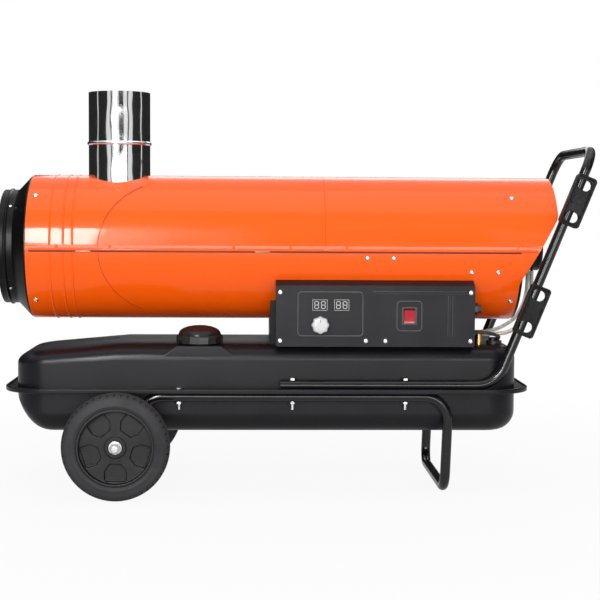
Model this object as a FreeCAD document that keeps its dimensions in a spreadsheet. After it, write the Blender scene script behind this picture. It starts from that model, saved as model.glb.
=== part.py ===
import FreeCAD, Part
import math
import os

import Sketcher

# An indirect oil-fired forced air heater on a wheeled fuel tank.
# Millimetres, +Z up, outlet towards -X, handle towards +X, control panel towards -Y.
# The origin is on the floor, below the middle of the whole object.

SIZES = {
    # Shared clearances
    "run_gap": 0.05,
    "fit_gap": 0.3,
    "hole_gap": 0.2,
    # Tubular body of two upper sheets and one lower sheet
    "tube_r": 140,
    "pedestal_high": 43,
    "shell_wall": 1.5,
    "tube_front_x": -506,
    "upper_rear_x": 503,
    "lower_rear_x": 431,
    "slope_top": 62,
    "slope_low": 63,
    "rear_corner_r": 30,
    "split_x": 58,
    "split_lap": 12,
    "lip_up": 7,
    "lip_down": 3,
    "lip_inset": 27,
    "lip_rear_x": 440,
    "bead_r": 1.8,
    "bead_a_x": -460,
    "bead_b_x": -435,
    "bead_c_x": -418,
    # Warm air outlet
    "outlet_wall": 2,
    "outlet_collar": 20,
    "outlet_shoulder_x": -509,
    "outlet_neck_x": -535,
    "outlet_front_x": -563,
    "outlet_r": 111,
    "outlet_bead_x": -549,
    "outlet_bead_half": 3,
    "outlet_bead_high": 2.5,
    "outlet_rivet_x": -542,
    # Flue
    "flue_x": -341,
    "flue_r": 60,
    "flue_wall": 1.5,
    "flue_top_z": 764,
    "flue_bead_z": 665,
    "flue_bead_r": 4,
    # Combustion chamber and burner
    "chamber_r": 95,
    "chamber_wall": 2,
    "chamber_front_x": -440,
    "chamber_rear_x": 130,
    "chamber_nose": 32,
    "bracket_front_x": -200,
    "bracket_rear_x": 84,
    "bracket_wide": 24,
    "bracket_thick": 3,
    "burner_r": 50,
    "burner_wall": 2,
    "burner_rear_x": 215,
    "burner_lap": 12,
    "nozzle_r": 9,
    "nozzle_long": 70,
    "electrode_r": 4,
    "electrode_long": 80,
    "electrode_apart": 36,
    "electrode_up": 20,
    # Fan, motor and pump
    "shroud_wall": 4,
    "shroud_front_x": 300,
    "shroud_proud": 5,
    "fan_x": 345,
    "fan_hub_r": 30,
    "fan_hub_long": 30,
    "fan_tip_r": 126,
    "blade_root_dx": 17,
    "blade_root_dy": 20,
    "blade_tip_dx": 12,
    "blade_tip_dy": 30,
    "blade_thick": 2.5,
    "blade_count": 5,
    "motor_r": 43,
    "motor_front_x": 372,
    "motor_rear_x": 428,
    "bearing_r": 13,
    "bearing_long": 8,
    "shaft_r": 6,
    "shaft_front_x": 326,
    "shaft_rear_x": 445,
    "spider_thick": 3,
    "spider_r": 46,
    "spider_wide": 18,
    "pump_neck_r": 34,
    "pump_neck_long": 34,
    "pump_r": 43,
    "pump_long": 28,
    "guard_wire_r": 2,
    "guard_inner_r": 52,
    "guard_ring_step": 20,
    "guard_spokes": 12,
    # Hoses and fuel pieces
    "hose_r": 4,
    "hose_bore_r": 2.5,
    "barb_long": 16,
    "pump_port_apart": 40,
    "pickup_x": 358,
    "pickup_in": 42,
    "pickup_z": 300,
    "pickup_r": 7,
    "dip_r": 3,
    "dip_clear": 14,
    "valve_long": 40,
    "valve_wide": 30,
    "valve_high": 28,
    "pipe_r": 3,
    "pipe_bore_r": 2,
    "pipe_bend_r": 18,
    "pipe_x": 250,
    "sender_x": 392,
    "sender_in": 65,
    "sender_r": 15,
    "sender_high": 12,
    "cable_r": 3.2,
    # Fuel tank
    "tank_front_x": -529,
    "tank_rear_x": 431,
    "tank_half_w": 137,
    "tank_corner_r": 60,
    "tank_bottom_z": 114,
    "tank_split_z": 196,
    "tank_top_z": 280,
    "tank_wall": 2,
    "tank_shoulder_r": 28,
    "tank_belly_r": 38,
    "tank_slope_x": -330,
    "tank_slope_drop": 18,
    "belly_rise": 70,
    "belly_reach": 72,
    "flange_front": 22,
    "flange_rear": 24,
    "flange_side": 28.5,
    "flange_sheet": 1.5,
    "hem_wide": 4,
    "hem_high": 9,
    "boss_low_half": 73,
    "boss_top_half": 42,
    "boss_depth": 22,
    "neck_x": -180,
    "neck_in": 47,
    "neck_r": 30,
    "neck_wall": 2.5,
    "neck_up": 16,
    "neck_down": 14,
    "cap_r": 45,
    "cap_top_r": 41,
    "cap_skirt": 16,
    "cap_dome": 18,
    "cap_roof": 4,
    "cap_lift_gap": 1.5,
    "cap_bore_gap": 0.8,
    "gasket_thick": 3,
    "gasket_wide": 5,
    "drain_x": 308,
    "drain_r": 11,
    "drain_high": 6,
    "drain_thread_r": 7,
    # Frame, handle and leg of bent tube
    "rail_r": 9.5,
    "rail_bore_r": 8,
    "rail_gap": 11,
    "rail_front_x": -271,
    "rail_bend_r": 45,
    "leg_top_x": 294,
    "leg_foot_x": 288,
    "leg_foot_bend_r": 32,
    "axle_end": 16,
    "handle_front_x": -26,
    "handle_bend_x": 384,
    "handle_top_x": 563,
    "handle_top_z": 653,
    "handle_bend_r": 55,
    "handle_grip_bend_r": 40,
    "hook_low_z": 352,
    "hook_high_z": 560,
    "hook_long": 100,
    "hook_wide": 40,
    "hook_shift": 7,
    "hook_deep": 15,
    "hook_corner_r": 7,
    "hook_rim": 4,
    "hook_recess": 4,
    "hook_hole_r": 10,
    "hook_hole_pitch": 64,
    "hook_hole_slot": 8,
    "hook_bolt_r": 3,
    # Wheels and axle
    "wheel_r": 100,
    "wheel_wide": 45,
    "spacer_long": 32.2,
    "wheel_x": -330,
    "axle_r": 6,
    "tyre_inner_r": 72,
    "tyre_crown": 8,
    "tyre_shoulder": 5,
    "hub_web": 16,
    "hub_pocket_deep": 5,
    "hub_boss_r": 20,
    "hub_boss_in": 12,
    "hub_rim": 5,
    "hub_pocket_low_r": 31,
    "hub_pocket_mid_r": 44,
    "hub_pocket_high_r": 63,
    "hub_pocket_low_half": 11,
    "hub_pocket_high_half": 20,
    "hub_pocket_r": 4,
    "hub_pockets": 5,
    "spacer_r": 9.5,
    "washer_r": 12,
    "washer_thick": 2,
    "nut_flat": 19,
    "nut_thick": 8,
    # Bolts through flange and rails
    "bolt_a_x": -217,
    "bolt_b_x": -3,
    "bolt_c_x": 211,
    "bolt_r": 3,
    "bolt_head_r": 6,
    "bolt_head_high": 4,
    "bolt_tail": 11,
    # Sheet screws and rivets
    "screw_r": 2,
    "screw_head_r": 4.5,
    "screw_head_high": 2.4,
    "screw_long": 7,
    "rim_screw_x": -491,
    "rim_screw_angle": 45,
    "shroud_screw_x": 418,
    "shroud_screw_angle": 45,
    "side_screw_a_x": 138,
    "side_screw_b_x": 188,
    "side_screw_angle": -6.4,
    "low_screw_a_x": 337,
    "low_screw_b_x": 388,
    "low_screw_angle": -17.5,
    "rivet_r": 3,
    "rivet_high": 1.5,
    "lip_rivet_a_x": -447,
    "lip_rivet_b_x": -347,
    "lip_rivet_c_x": -114,
    "lip_rivet_d_x": -8,
    "lip_rivet_e_x": 99,
    "lip_rivet_f_x": 424,
    # Pedestal and control box
    "support_front_x": -45,
    "support_half_w": 100,
    "support_wall": 2,
    "box_front_x": -35,
    "box_rear_x": 341.5,
    "box_face_y": -150,
    "box_low_z": 280.5,
    "box_high_z": 396,
    "box_roof_z": 406,
    "box_roof_y": -127,
    "box_wall": 1.5,
    "box_flange": 16,
    "panel_thick": 2.5,
    "panel_recess": 1.2,
    "panel_screw_in": 8,
    "panel_screw_down": 13,
    "panel_screw_up": 11,
    "panel_mid_a_x": 135,
    "panel_mid_b_x": 172,
    "readout_low_x": 6.5,
    "readout_high_x": 129,
    "readout_low_z": 301,
    "readout_high_z": 384,
    "display_wide": 31,
    "display_high": 23.5,
    "display_z": 359,
    "display_a_x": 48,
    "display_b_x": 89,
    "display_sink": 0.8,
    "board_y": -131,
    "board_thick": 1.6,
    "board_margin": 6,
    "knob_x": 48.5,
    "knob_z": 321.6,
    "knob_r": 17,
    "knob_high": 16,
    "knob_skirt": 4,
    "knob_lobes": 7,
    "knob_lobe_r": 5,
    "knob_shaft_r": 3,
    "encoder_wide": 14,
    "switch_x": 217,
    "switch_z": 339,
    "switch_pad_wide": 47,
    "switch_pad_high": 56,
    "switch_wide": 29,
    "switch_high": 34,
    "switch_bezel": 1.6,
    "switch_deep": 17,
    "switch_wall": 2.6,
    "rocker_wide": 20,
    "rocker_high": 25,
    "rocker_proud": 3.4,
    "rocker_tip": 5.4,
    "rocker_pin_r": 1.5,
    "rocker_rest_tilt": 8,
    "rib_z": 383,
    "rib_front_x": 149,
    "rib_rear_x": 326,
    "rib_high": 4,
    "rib_proud": 1.2,
    "stripe_a_x": 292,
    "stripe_b_x": 301,
    "stripe_wide": 3,
    "stripe_low_z": 301,
    "stripe_high_z": 377,
    "gland_r": 10,
    "gland_long": 14,
    "gland_bore_r": 4.5,
    "gland_z": 352,
    "gland_y": -138,
    "cable_exit_y": -125,
    "cable_exit_z": 306,
    "transformer_long": 80,
    "transformer_deep": 36,
    "transformer_high": 46,
}

doc = FreeCAD.newDocument("ForcedAirHeater")
sheet = doc.addObject("Spreadsheet::Sheet", "Sizes")


class Size:
    """A length with its value and the sheet formula that it comes from."""

    def __init__(self, value, formula):
        self.value = float(value)
        self.formula = formula

    def __add__(self, other):
        other = as_size(other)
        return Size(self.value + other.value, f"({self.formula} + {other.formula})")

    def __sub__(self, other):
        other = as_size(other)
        return Size(self.value - other.value, f"({self.formula} - {other.formula})")

    def __mul__(self, other):
        other = as_size(other)
        return Size(self.value * other.value, f"({self.formula} * {other.formula})")

    def __truediv__(self, other):
        other = as_size(other)
        return Size(self.value / other.value, f"({self.formula} / {other.formula})")

    def __rsub__(self, other):
        return as_size(other) - self

    def __neg__(self):
        return Size(-self.value, f"(0 - {self.formula})")

    def __float__(self):
        return self.value

    __radd__ = __add__
    __rmul__ = __mul__


def as_size(number):
    if isinstance(number, Size):
        return number
    return Size(number, f"({float(number):.9f})")


class SheetSizes:
    """Every driving size by its name."""


d = SheetSizes()
for row, (alias, number) in enumerate(SIZES.items(), start=1):
    sheet.set(f"A{row}", alias)
    sheet.set(f"B{row}", str(number))
    sheet.setAlias(f"B{row}", alias)
doc.recompute()
for alias in SIZES:
    setattr(d, alias, Size(sheet.get(alias), f"Sizes.{alias}"))

TURN = {
    "x": FreeCAD.Rotation(FreeCAD.Vector(0, 1, 0), 90),
    "y": FreeCAD.Rotation(FreeCAD.Vector(1, 0, 0), -90),
    "z": FreeCAD.Rotation(),
}
NODES = {}


# Document helpers


def node(label, obj):
    """Names a finished sub-part, which is written to a file of that name."""
    obj.Label = label
    NODES[label] = obj
    return obj


def bind(obj, prop, size):
    obj.setExpression(prop, as_size(size).formula)


def place(obj, at, turn=None):
    obj.Placement = FreeCAD.Placement(FreeCAD.Vector(), turn or FreeCAD.Rotation())
    for axis, size in zip("xyz", at):
        bind(obj, f"Placement.Base.{axis}", size)


def cylinder(radius, length, start, along="z"):
    """A round bar from its start point, along a named axis or a rotation of Z."""
    obj = doc.addObject("Part::Cylinder", "Bar")
    bind(obj, "Radius", radius)
    bind(obj, "Height", length)
    place(obj, start, TURN[along] if isinstance(along, str) else along)
    return obj


def pipe(outer, inner, length, start, along="z"):
    """A straight tube; its bore runs past both ends so that the cut is clean."""
    past = 1
    shift = {"x": (past, 0, 0), "y": (0, past, 0), "z": (0, 0, past)}[along]
    bore_start = [as_size(a) - b for a, b in zip(start, shift)]
    bar = cylinder(outer, length, start, along)
    return cut(bar, cylinder(inner, length + 2 * past, bore_start, along))


def box(low, high):
    """A block between two opposite corners."""
    obj = doc.addObject("Part::Box", "Block")
    for prop, a, b in zip(("Length", "Width", "Height"), low, high):
        bind(obj, prop, as_size(b) - a)
    place(obj, low)
    return obj


def torus(ring_r, wire_r, centre, along):
    obj = doc.addObject("Part::Torus", "Ring")
    bind(obj, "Radius1", ring_r)
    bind(obj, "Radius2", wire_r)
    place(obj, centre, TURN[along])
    return obj


def fuse(*shapes):
    if len(shapes) == 1:
        return shapes[0]
    obj = doc.addObject("Part::MultiFuse", "Joined")
    obj.Shapes = list(shapes)
    return obj


def cut(base, *tools):
    obj = doc.addObject("Part::Cut", "Trimmed")
    obj.Base = base
    obj.Tool = fuse(*tools)
    return obj


def common(*shapes):
    obj = doc.addObject("Part::MultiCommon", "Shared")
    obj.Shapes = list(shapes)
    return obj


def group(shapes):
    """Like pieces kept as separate solids of one node."""
    obj = doc.addObject("Part::Compound", "Group")
    obj.Links = list(shapes)
    return obj


def sketch_outline(body, plane, points, offset=0):
    """A closed outline whose corners are bound to the sheet."""
    sketch = body.newObject("Sketcher::SketchObject", "Outline")
    support = [f for f in body.Origin.OriginFeatures if f.Role == plane + "_Plane"][0]
    sketch.AttachmentSupport = [(support, "")]
    sketch.MapMode = "FlatFace"
    bind(sketch, "AttachmentOffset.Base.z", offset)
    spots = [FreeCAD.Vector(float(a), float(b), 0) for a, b in points]
    count = len(points)
    for i, spot in enumerate(spots):
        sketch.addGeometry(Part.LineSegment(spot, spots[(i + 1) % count]), False)
    for i in range(count):
        sketch.addConstraint(Sketcher.Constraint("Coincident", i, 2, (i + 1) % count, 1))
    for i, corner in enumerate(points):
        for kind, size in zip(("DistanceX", "DistanceY"), corner):
            index = sketch.addConstraint(Sketcher.Constraint(kind, i, 1, float(size)))
            bind(sketch, f"Constraints[{index}]", size)
    return sketch


def turned(points, along, centre=(0, 0, 0)):
    """A turned piece: points are (place on the axis, radius)."""
    body = doc.addObject("PartDesign::Body", "Turned")
    if along == "z":
        sketch = sketch_outline(body, "XZ", [(r, z) for z, r in points])
    else:
        sketch = sketch_outline(body, "XZ" if along == "x" else "YZ", points)
    spin = body.newObject("PartDesign::Revolution", "Spin")
    spin.Profile = sketch
    spin.ReferenceAxis = (sketch, ["V_Axis" if along == "z" else "H_Axis"])
    spin.Angle = 360
    place(body, centre)
    return body


def slab(plane, points, low, high):
    """An outline padded between two levels along the plane's own normal."""
    body = doc.addObject("PartDesign::Body", "Slab")
    offset = -as_size(high) if plane == "XZ" else low
    sketch = sketch_outline(body, plane, points, offset)
    pad = body.newObject("PartDesign::Pad", "Pad")
    pad.Profile = sketch
    bind(pad, "Length", as_size(high) - low)
    return body


def rounded(body, radius, wanted):
    """Fillets the edges of a body for which wanted(edge) is true."""
    body.recompute(True)
    last = body.Tip
    edges = last.Shape.Edges
    names = [f"Edge{i}" for i, edge in enumerate(edges, start=1) if wanted(edge)]
    fillet = body.newObject("PartDesign::Fillet", "Round")
    fillet.Base = (last, names)
    bind(fillet, "Radius", radius)
    return body


def is_along(axis):
    """Picks straight edges parallel to a row axis."""
    def pick(edge):
        if not isinstance(edge.Curve, Part.Line):
            return False
        return abs(getattr(edge.Curve.Direction, axis)) > 0.999
    return pick


def rectangle(low, high):
    return [(low[0], low[1]), (high[0], low[1]), (high[0], high[1]), (low[0], high[1])]


# Bent tubes and hoses


def bent_path(points, radii):
    """Straight runs joined by tangent arcs of the given radii at the inner points."""
    edges = []
    last = points[0]
    for i, radius in enumerate(radii, start=1):
        corner = points[i]
        back = (points[i - 1] - corner).normalize()
        ahead = (points[i + 1] - corner).normalize()
        half = back.getAngle(ahead) / 2
        reach = radius / math.tan(half)
        middle = (back + ahead).normalize() * (radius / math.sin(half) - radius)
        enter = corner + back * reach
        leave = corner + ahead * reach
        edges.append(Part.LineSegment(last, enter).toShape())
        edges.append(Part.Arc(enter, corner + middle, leave).toShape())
        last = leave
    edges.append(Part.LineSegment(last, points[-1]).toShape())
    return Part.Wire(edges)


def swept(path, radius):
    start = path.Edges[0].Vertexes[0].Point
    ahead = path.Edges[0].Vertexes[1].Point - start
    ring = Part.Wire(Part.Circle(start, ahead, radius).toShape())
    return path.makePipeShell([ring], True, False)


def bent_tube(name, points, radii, outer, bore):
    """A hollow tube along a bent path, as a feature of the document."""
    path = bent_path([FreeCAD.Vector(*map(float, p)) for p in points], radii)
    shape = swept(path, float(outer)).cut(swept(path, float(bore)))
    expected = path.Length * math.pi * (float(outer) ** 2 - float(bore) ** 2)
    print(f"{name}: length {path.Length:.1f}, volume ratio {shape.Volume / expected:.4f}")
    feature = doc.addObject("Part::Feature", name)
    feature.Shape = shape
    return feature


def hose_radii(name, points):
    """The largest arc that each pair of runs allows."""
    spots = [FreeCAD.Vector(*map(float, p)) for p in points]
    radii = []
    for a, b, c in zip(spots, spots[1:], spots[2:]):
        turn = (b - a).getAngle(c - b)
        radii.append(0.45 * min((b - a).Length, (c - b).Length) / math.tan(turn / 2))
    print(f"{name}: radii", ", ".join(f"{r:.0f}" for r in radii))
    return radii


# Places shared by several pieces

TUBE_Z = d.tank_top_z + d.pedestal_high + d.tube_r
AXIS = (0, 0, TUBE_Z)
RAIL_Y = d.tank_half_w + d.rail_gap
NECK_Y = d.neck_in - d.tank_half_w
PICKUP_Y = d.pickup_in - d.tank_half_w
SENDER_Y = d.sender_in - d.tank_half_w
PUMP_FRONT_X = d.motor_rear_x + d.spider_thick
PUMP_STEP_X = PUMP_FRONT_X + d.pump_neck_long
PUMP_REAR_X = PUMP_STEP_X + d.pump_long
PUMP_PORT_X = PUMP_STEP_X + d.pump_long / 3
SHELL_BORE_R = d.tube_r - d.shell_wall
SEAM_Z = TUBE_Z + d.lip_up
LIP_IN_Y = d.tube_r + d.fit_gap
LIP_OUT_Y = LIP_IN_Y + d.shell_wall
FLANGE_LOW_Z = d.tank_split_z - d.flange_sheet
FLANGE_HIGH_Z = d.tank_split_z + d.flange_sheet
HANDLE_Z = FLANGE_HIGH_Z + d.rail_r
RAIL_Z = FLANGE_LOW_Z - d.rail_r
AXLE_Z = d.wheel_r
SHROUD_R = SHELL_BORE_R - d.fit_gap
SHROUD_BORE_R = SHROUD_R - d.shroud_wall
SHROUD_REAR_X = d.lower_rear_x + d.shroud_proud
PANEL_BACK_Y = d.box_face_y
PANEL_FACE_Y = PANEL_BACK_Y - d.panel_thick
PUMP_PORT_Z = TUBE_Z - d.pump_r
VALVE_Z = d.tank_top_z + d.support_wall + d.valve_high / 2
BOLT_XS = (d.bolt_a_x, d.bolt_b_x, d.bolt_c_x)
SIDES = {"left": -1, "right": 1}


def radial_turn(angle):
    """Turns Z to point outwards from the tube at an angle above the near side."""
    return FreeCAD.Rotation(FreeCAD.Vector(1, 0, 0), 90 - angle)


def on_tube(x, radius, angle):
    """A point at a radius from the tube's axis; angle 0 is the near side."""
    turn = math.radians(angle)
    return (x, radius * -math.cos(turn), TUBE_Z + radius * math.sin(turn))


def radial_bar(x, long, wide, low_r, high_r, angle):
    """A flat bar that points outwards from the tube's axis between two radii."""
    bar = doc.addObject("Part::Box", "RadialBar")
    bind(bar, "Length", long)
    bind(bar, "Width", wide)
    bind(bar, "Height", as_size(high_r) - low_r)
    spot = on_tube(x, as_size(low_r), angle)
    turn = math.radians(angle)
    across = as_size(wide) / 2
    corner = (x, spot[1] - across * math.sin(turn), spot[2] - across * math.cos(turn))
    place(bar, corner, radial_turn(angle))
    return bar


def mirrored_angles(angle):
    """The same height on the near and the far side."""
    return (float(angle), 180 - float(angle))


def shell_screw_places():
    """Place along the tube and angle of each sheet screw."""
    places = []
    for x, angle in (
        (d.rim_screw_x, d.rim_screw_angle),
        (d.rim_screw_x, -d.rim_screw_angle),
        (d.shroud_screw_x, d.shroud_screw_angle),
        (d.shroud_screw_x, -d.shroud_screw_angle),
        (d.side_screw_a_x, d.side_screw_angle),
        (d.side_screw_b_x, d.side_screw_angle),
        (d.low_screw_a_x, d.low_screw_angle),
        (d.low_screw_b_x, d.low_screw_angle),
    ):
        places.extend((x, side) for side in mirrored_angles(angle))
    return places


def screw(at, turn, seat_point):
    """A pan head and its shank; at() gives the point at a height above the seat."""
    head = cylinder(d.screw_head_r, d.screw_head_high, seat_point, turn)
    shank = cylinder(d.screw_r, d.screw_long, at(-d.screw_long), turn)
    return fuse(head, shank)


def shell_screws():
    pieces = []
    for x, angle in shell_screw_places():
        def at(height, x=x, angle=angle):
            return on_tube(x, d.tube_r + height, angle)
        pieces.append(screw(at, radial_turn(angle), at(0)))
    return node("shell_screws", group(pieces))


def screw_holes():
    """Clearance holes of the sheet screws, through shells, collar and shroud."""
    return [
        cylinder(d.screw_r + d.hole_gap, d.screw_long * 2,
                 on_tube(x, d.tube_r - d.screw_long - 1, angle), radial_turn(angle))
        for x, angle in shell_screw_places()
    ]


# Tube shells


def rear_trim():
    """What lies behind the shells' rear edge: upright, sloped, then upright again."""
    past = d.tube_r * 2
    top = TUBE_Z + d.slope_top
    low = TUBE_Z - d.slope_low
    points = [
        (d.upper_rear_x, TUBE_Z + past),
        (d.upper_rear_x, top),
        (d.lower_rear_x, low),
        (d.lower_rear_x, TUBE_Z - past),
        (d.upper_rear_x + past, TUBE_Z - past),
        (d.upper_rear_x + past, TUBE_Z + past),
    ]
    body = slab("XZ", points, -past, past)
    corners = [(float(d.upper_rear_x), float(top)), (float(d.lower_rear_x), float(low))]

    def at_corner(edge):
        point = edge.Vertexes[0].Point
        is_cross = is_along("y")(edge)
        return is_cross and any(math.hypot(point.x - x, point.z - z) < 0.01 for x, z in corners)

    return rounded(body, d.rear_corner_r, at_corner)


def beads():
    return [
        torus(d.tube_r - d.bead_r / 4, d.bead_r, (x, 0, TUBE_Z), "x")
        for x in (d.bead_a_x, d.bead_b_x, d.bead_c_x)
    ]


def above_seam(low_z):
    """All of the tube's room above a level."""
    past = d.tube_r + 20
    return box((d.tube_front_x - 20, -past, low_z),
               (d.upper_rear_x + 20, past, TUBE_Z + past))


def lip_strips(front_x, rear_x):
    """The joggled lower edge of the upper sheets, on both sides."""
    strips = []
    for side in SIDES.values():
        ys = sorted((LIP_IN_Y * side, LIP_OUT_Y * side), key=float)
        web = sorted((SHELL_BORE_R * side, LIP_OUT_Y * side), key=float)
        strips.append(box((front_x, ys[0], TUBE_Z - d.lip_down), (rear_x, ys[1], SEAM_Z)))
        strips.append(box((front_x, web[0], SEAM_Z - d.shell_wall), (rear_x, web[1], SEAM_Z)))
    return strips


def lip_rivet_places():
    xs = (d.lip_rivet_a_x, d.lip_rivet_b_x, d.lip_rivet_c_x,
          d.lip_rivet_d_x, d.lip_rivet_e_x, d.lip_rivet_f_x)
    return [(x, side) for x in xs for side in SIDES.values()]


def rivets():
    """Low round heads along the lips and round the outlet's duct ring."""
    z = TUBE_Z + (d.lip_up - d.lip_down) / 2
    pieces = []
    for x, side in lip_rivet_places():
        start = LIP_OUT_Y if side > 0 else -LIP_OUT_Y - d.rivet_high
        pieces.append(cylinder(d.rivet_r, d.rivet_high, (x, start, z), "y"))
    for base in (d.rim_screw_angle, -d.rim_screw_angle):
        for angle in mirrored_angles(base):
            spot = on_tube(d.outlet_rivet_x, d.outlet_r, angle)
            pieces.append(cylinder(d.rivet_r, d.rivet_high, spot, radial_turn(angle)))
    return node("rivets", group(pieces))


def flue_hole():
    return cylinder(d.flue_r + d.fit_gap, d.tube_r * 2, (d.flue_x, 0, TUBE_Z))


def upper_front_shell():
    """Front upper sheet, whose rear edge is tucked under the next sheet."""
    tuck_r = SHELL_BORE_R - d.fit_gap
    tuck_bore = tuck_r - d.shell_wall
    main = pipe(d.tube_r, SHELL_BORE_R, d.split_x - d.tube_front_x,
                (d.tube_front_x, 0, TUBE_Z), "x")
    step = pipe(d.tube_r, tuck_bore, d.shell_wall,
                (d.split_x - d.shell_wall, 0, TUBE_Z), "x")
    tuck = pipe(tuck_r, tuck_bore, d.split_lap + d.shell_wall,
                (d.split_x - d.shell_wall, 0, TUBE_Z), "x")
    ring = common(fuse(main, step, tuck, *beads()), above_seam(SEAM_Z - d.shell_wall))
    sheet_metal = fuse(ring, *lip_strips(d.tube_front_x + d.lip_inset, d.split_x))
    return node("upper_front_shell", cut(sheet_metal, flue_hole(), *screw_holes()))


def upper_rear_shell(trim):
    """Rear upper sheet, a hood that overhangs the lower sheet."""
    start = d.split_x + d.fit_gap
    ring = pipe(d.tube_r, SHELL_BORE_R, d.upper_rear_x + 10 - start,
                (start, 0, TUBE_Z), "x")
    upper = common(ring, above_seam(SEAM_Z - d.shell_wall))
    sheet_metal = fuse(upper, *lip_strips(start, d.lip_rear_x))
    return node("upper_rear_shell", cut(sheet_metal, trim, *screw_holes()))


def lower_shell(trim):
    """Lower sheet; its top edges stand behind the upper sheets' lips."""
    ring = pipe(d.tube_r, SHELL_BORE_R, d.upper_rear_x - d.tube_front_x,
                (d.tube_front_x, 0, TUBE_Z), "x")
    pipe_hole = cylinder(d.pipe_r + d.fit_gap, d.tube_r * 2,
                         (d.pipe_x, 0, TUBE_Z - d.tube_r * 2))
    upper = above_seam(SEAM_Z - d.shell_wall - d.fit_gap)
    low_beads = cut(fuse(*beads()), above_seam(TUBE_Z - d.lip_down - d.fit_gap))
    sheet_metal = fuse(cut(ring, upper), low_beads)
    return node("lower_shell", cut(sheet_metal, trim, pipe_hole, *screw_holes()))


# Outlet


def outlet_cone():
    """A spun cone with a collar inside the shells and a beaded duct ring."""
    collar_r = SHELL_BORE_R - d.fit_gap
    wall = d.outlet_wall
    bead_front = d.outlet_bead_x - d.outlet_bead_half
    bead_rear = d.outlet_bead_x + d.outlet_bead_half
    bead_r = d.outlet_r + d.outlet_bead_high
    points = [
        (d.tube_front_x + d.outlet_collar, collar_r),
        (d.outlet_shoulder_x, collar_r),
        (d.outlet_neck_x, d.outlet_r),
        (bead_rear, d.outlet_r),
        (d.outlet_bead_x + d.outlet_bead_half / 3, bead_r),
        (d.outlet_bead_x - d.outlet_bead_half / 3, bead_r),
        (bead_front, d.outlet_r),
        (d.outlet_front_x, d.outlet_r),
        (d.outlet_front_x, d.outlet_r - wall),
        (d.outlet_neck_x + wall / 2, d.outlet_r - wall),
        (d.outlet_shoulder_x + wall / 2, collar_r - wall),
        (d.tube_front_x + d.outlet_collar, collar_r - wall),
    ]
    cone = turned(points, "x", AXIS)
    return node("outlet_cone", cut(cone, *screw_holes()))


# Hot side


def combustion_chamber():
    """Closed steel chamber with a domed nose, a burner hole and a flue socket."""
    wall = d.chamber_wall
    front, rear = d.chamber_front_x, d.chamber_rear_x
    step_r = d.chamber_r * 0.7
    points = [
        (front - d.chamber_nose, 0),
        (front - d.chamber_nose, d.chamber_r * 0.35),
        (front - d.chamber_nose * 0.6, step_r),
        (front, d.chamber_r),
        (rear, d.chamber_r),
        (rear, d.burner_r + d.fit_gap),
        (rear - wall, d.burner_r + d.fit_gap),
        (rear - wall, d.chamber_r - wall),
        (front, d.chamber_r - wall),
        (front - d.chamber_nose * 0.6 + wall, step_r - wall),
        (front - d.chamber_nose + wall, d.chamber_r * 0.35 - wall),
        (front - d.chamber_nose + wall, 0),
    ]
    shell = turned(points, "x", AXIS)
    socket_r = d.flue_r - d.flue_wall - d.fit_gap
    socket = cylinder(socket_r, d.tube_r, (d.flue_x, 0, TUBE_Z))
    bore = cylinder(socket_r - wall, d.tube_r * 2, (d.flue_x, 0, TUBE_Z))
    inside = cylinder(d.chamber_r - wall, rear - front, (front, 0, TUBE_Z), "x")
    return node("combustion_chamber", cut(fuse(shell, cut(socket, inside)), bore))


def chamber_brackets():
    """Radial flat struts that hold the chamber in the tube, three to a ring."""
    low, high = d.chamber_r + d.fit_gap, SHELL_BORE_R - d.fit_gap
    pieces = [
        radial_bar(x, d.bracket_wide, d.bracket_thick, low, high, angle)
        for x in (d.bracket_front_x, d.bracket_rear_x) for angle in (-90, 40, 140)
    ]
    return node("chamber_brackets", group(pieces))


def flue_pipe():
    """Stainless flue with a raised bead, cut to sit on the chamber."""
    low = TUBE_Z
    tube = fuse(cylinder(d.flue_r, d.flue_top_z - low, (d.flue_x, 0, low)),
                torus(d.flue_r - d.flue_bead_r / 3, d.flue_bead_r, (d.flue_x, 0, d.flue_bead_z), "z"))
    bore = cylinder(d.flue_r - d.flue_wall, d.flue_top_z, (d.flue_x, 0, low - 1))
    long = d.chamber_rear_x - d.chamber_front_x
    seat = cylinder(d.chamber_r + d.fit_gap, long, (d.chamber_front_x, 0, low), "x")
    return node("flue_pipe", cut(tube, bore, seat))


def burner_tube():
    """Air tube of the burner with a rear plate that carries nozzle and electrodes."""
    front = d.chamber_rear_x - d.burner_lap
    body = cylinder(d.burner_r, d.burner_rear_x - front, (front, 0, TUBE_Z), "x")
    hollow = cylinder(d.burner_r - d.burner_wall, d.burner_rear_x - front,
                      (front - d.burner_wall, 0, TUBE_Z), "x")
    holes = [cylinder(d.nozzle_r, d.nozzle_long, (front, 0, TUBE_Z), "x")]
    holes[0].setExpression("Height", (d.burner_rear_x - front + d.nozzle_long).formula)
    for side in SIDES.values():
        spot = (front, d.electrode_apart / 2 * side, TUBE_Z + d.electrode_up)
        holes.append(cylinder(d.electrode_r, d.burner_rear_x - front + d.electrode_long, spot, "x"))
    return node("burner_tube", cut(body, hollow, *holes))


def fuel_nozzle():
    """Brass nozzle holder through the burner's rear plate."""
    rear = d.burner_rear_x + d.nozzle_r
    front = rear - d.nozzle_long
    tip = d.nozzle_r / 2
    points = [
        (front - tip, 0),
        (front - tip, tip / 2),
        (front, d.nozzle_r),
        (rear, d.nozzle_r),
        (rear, d.pipe_r),
        (rear - d.nozzle_r, d.pipe_r),
        (rear - d.nozzle_r, 0),
    ]
    return node("fuel_nozzle", turned(points, "x", AXIS))


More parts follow.
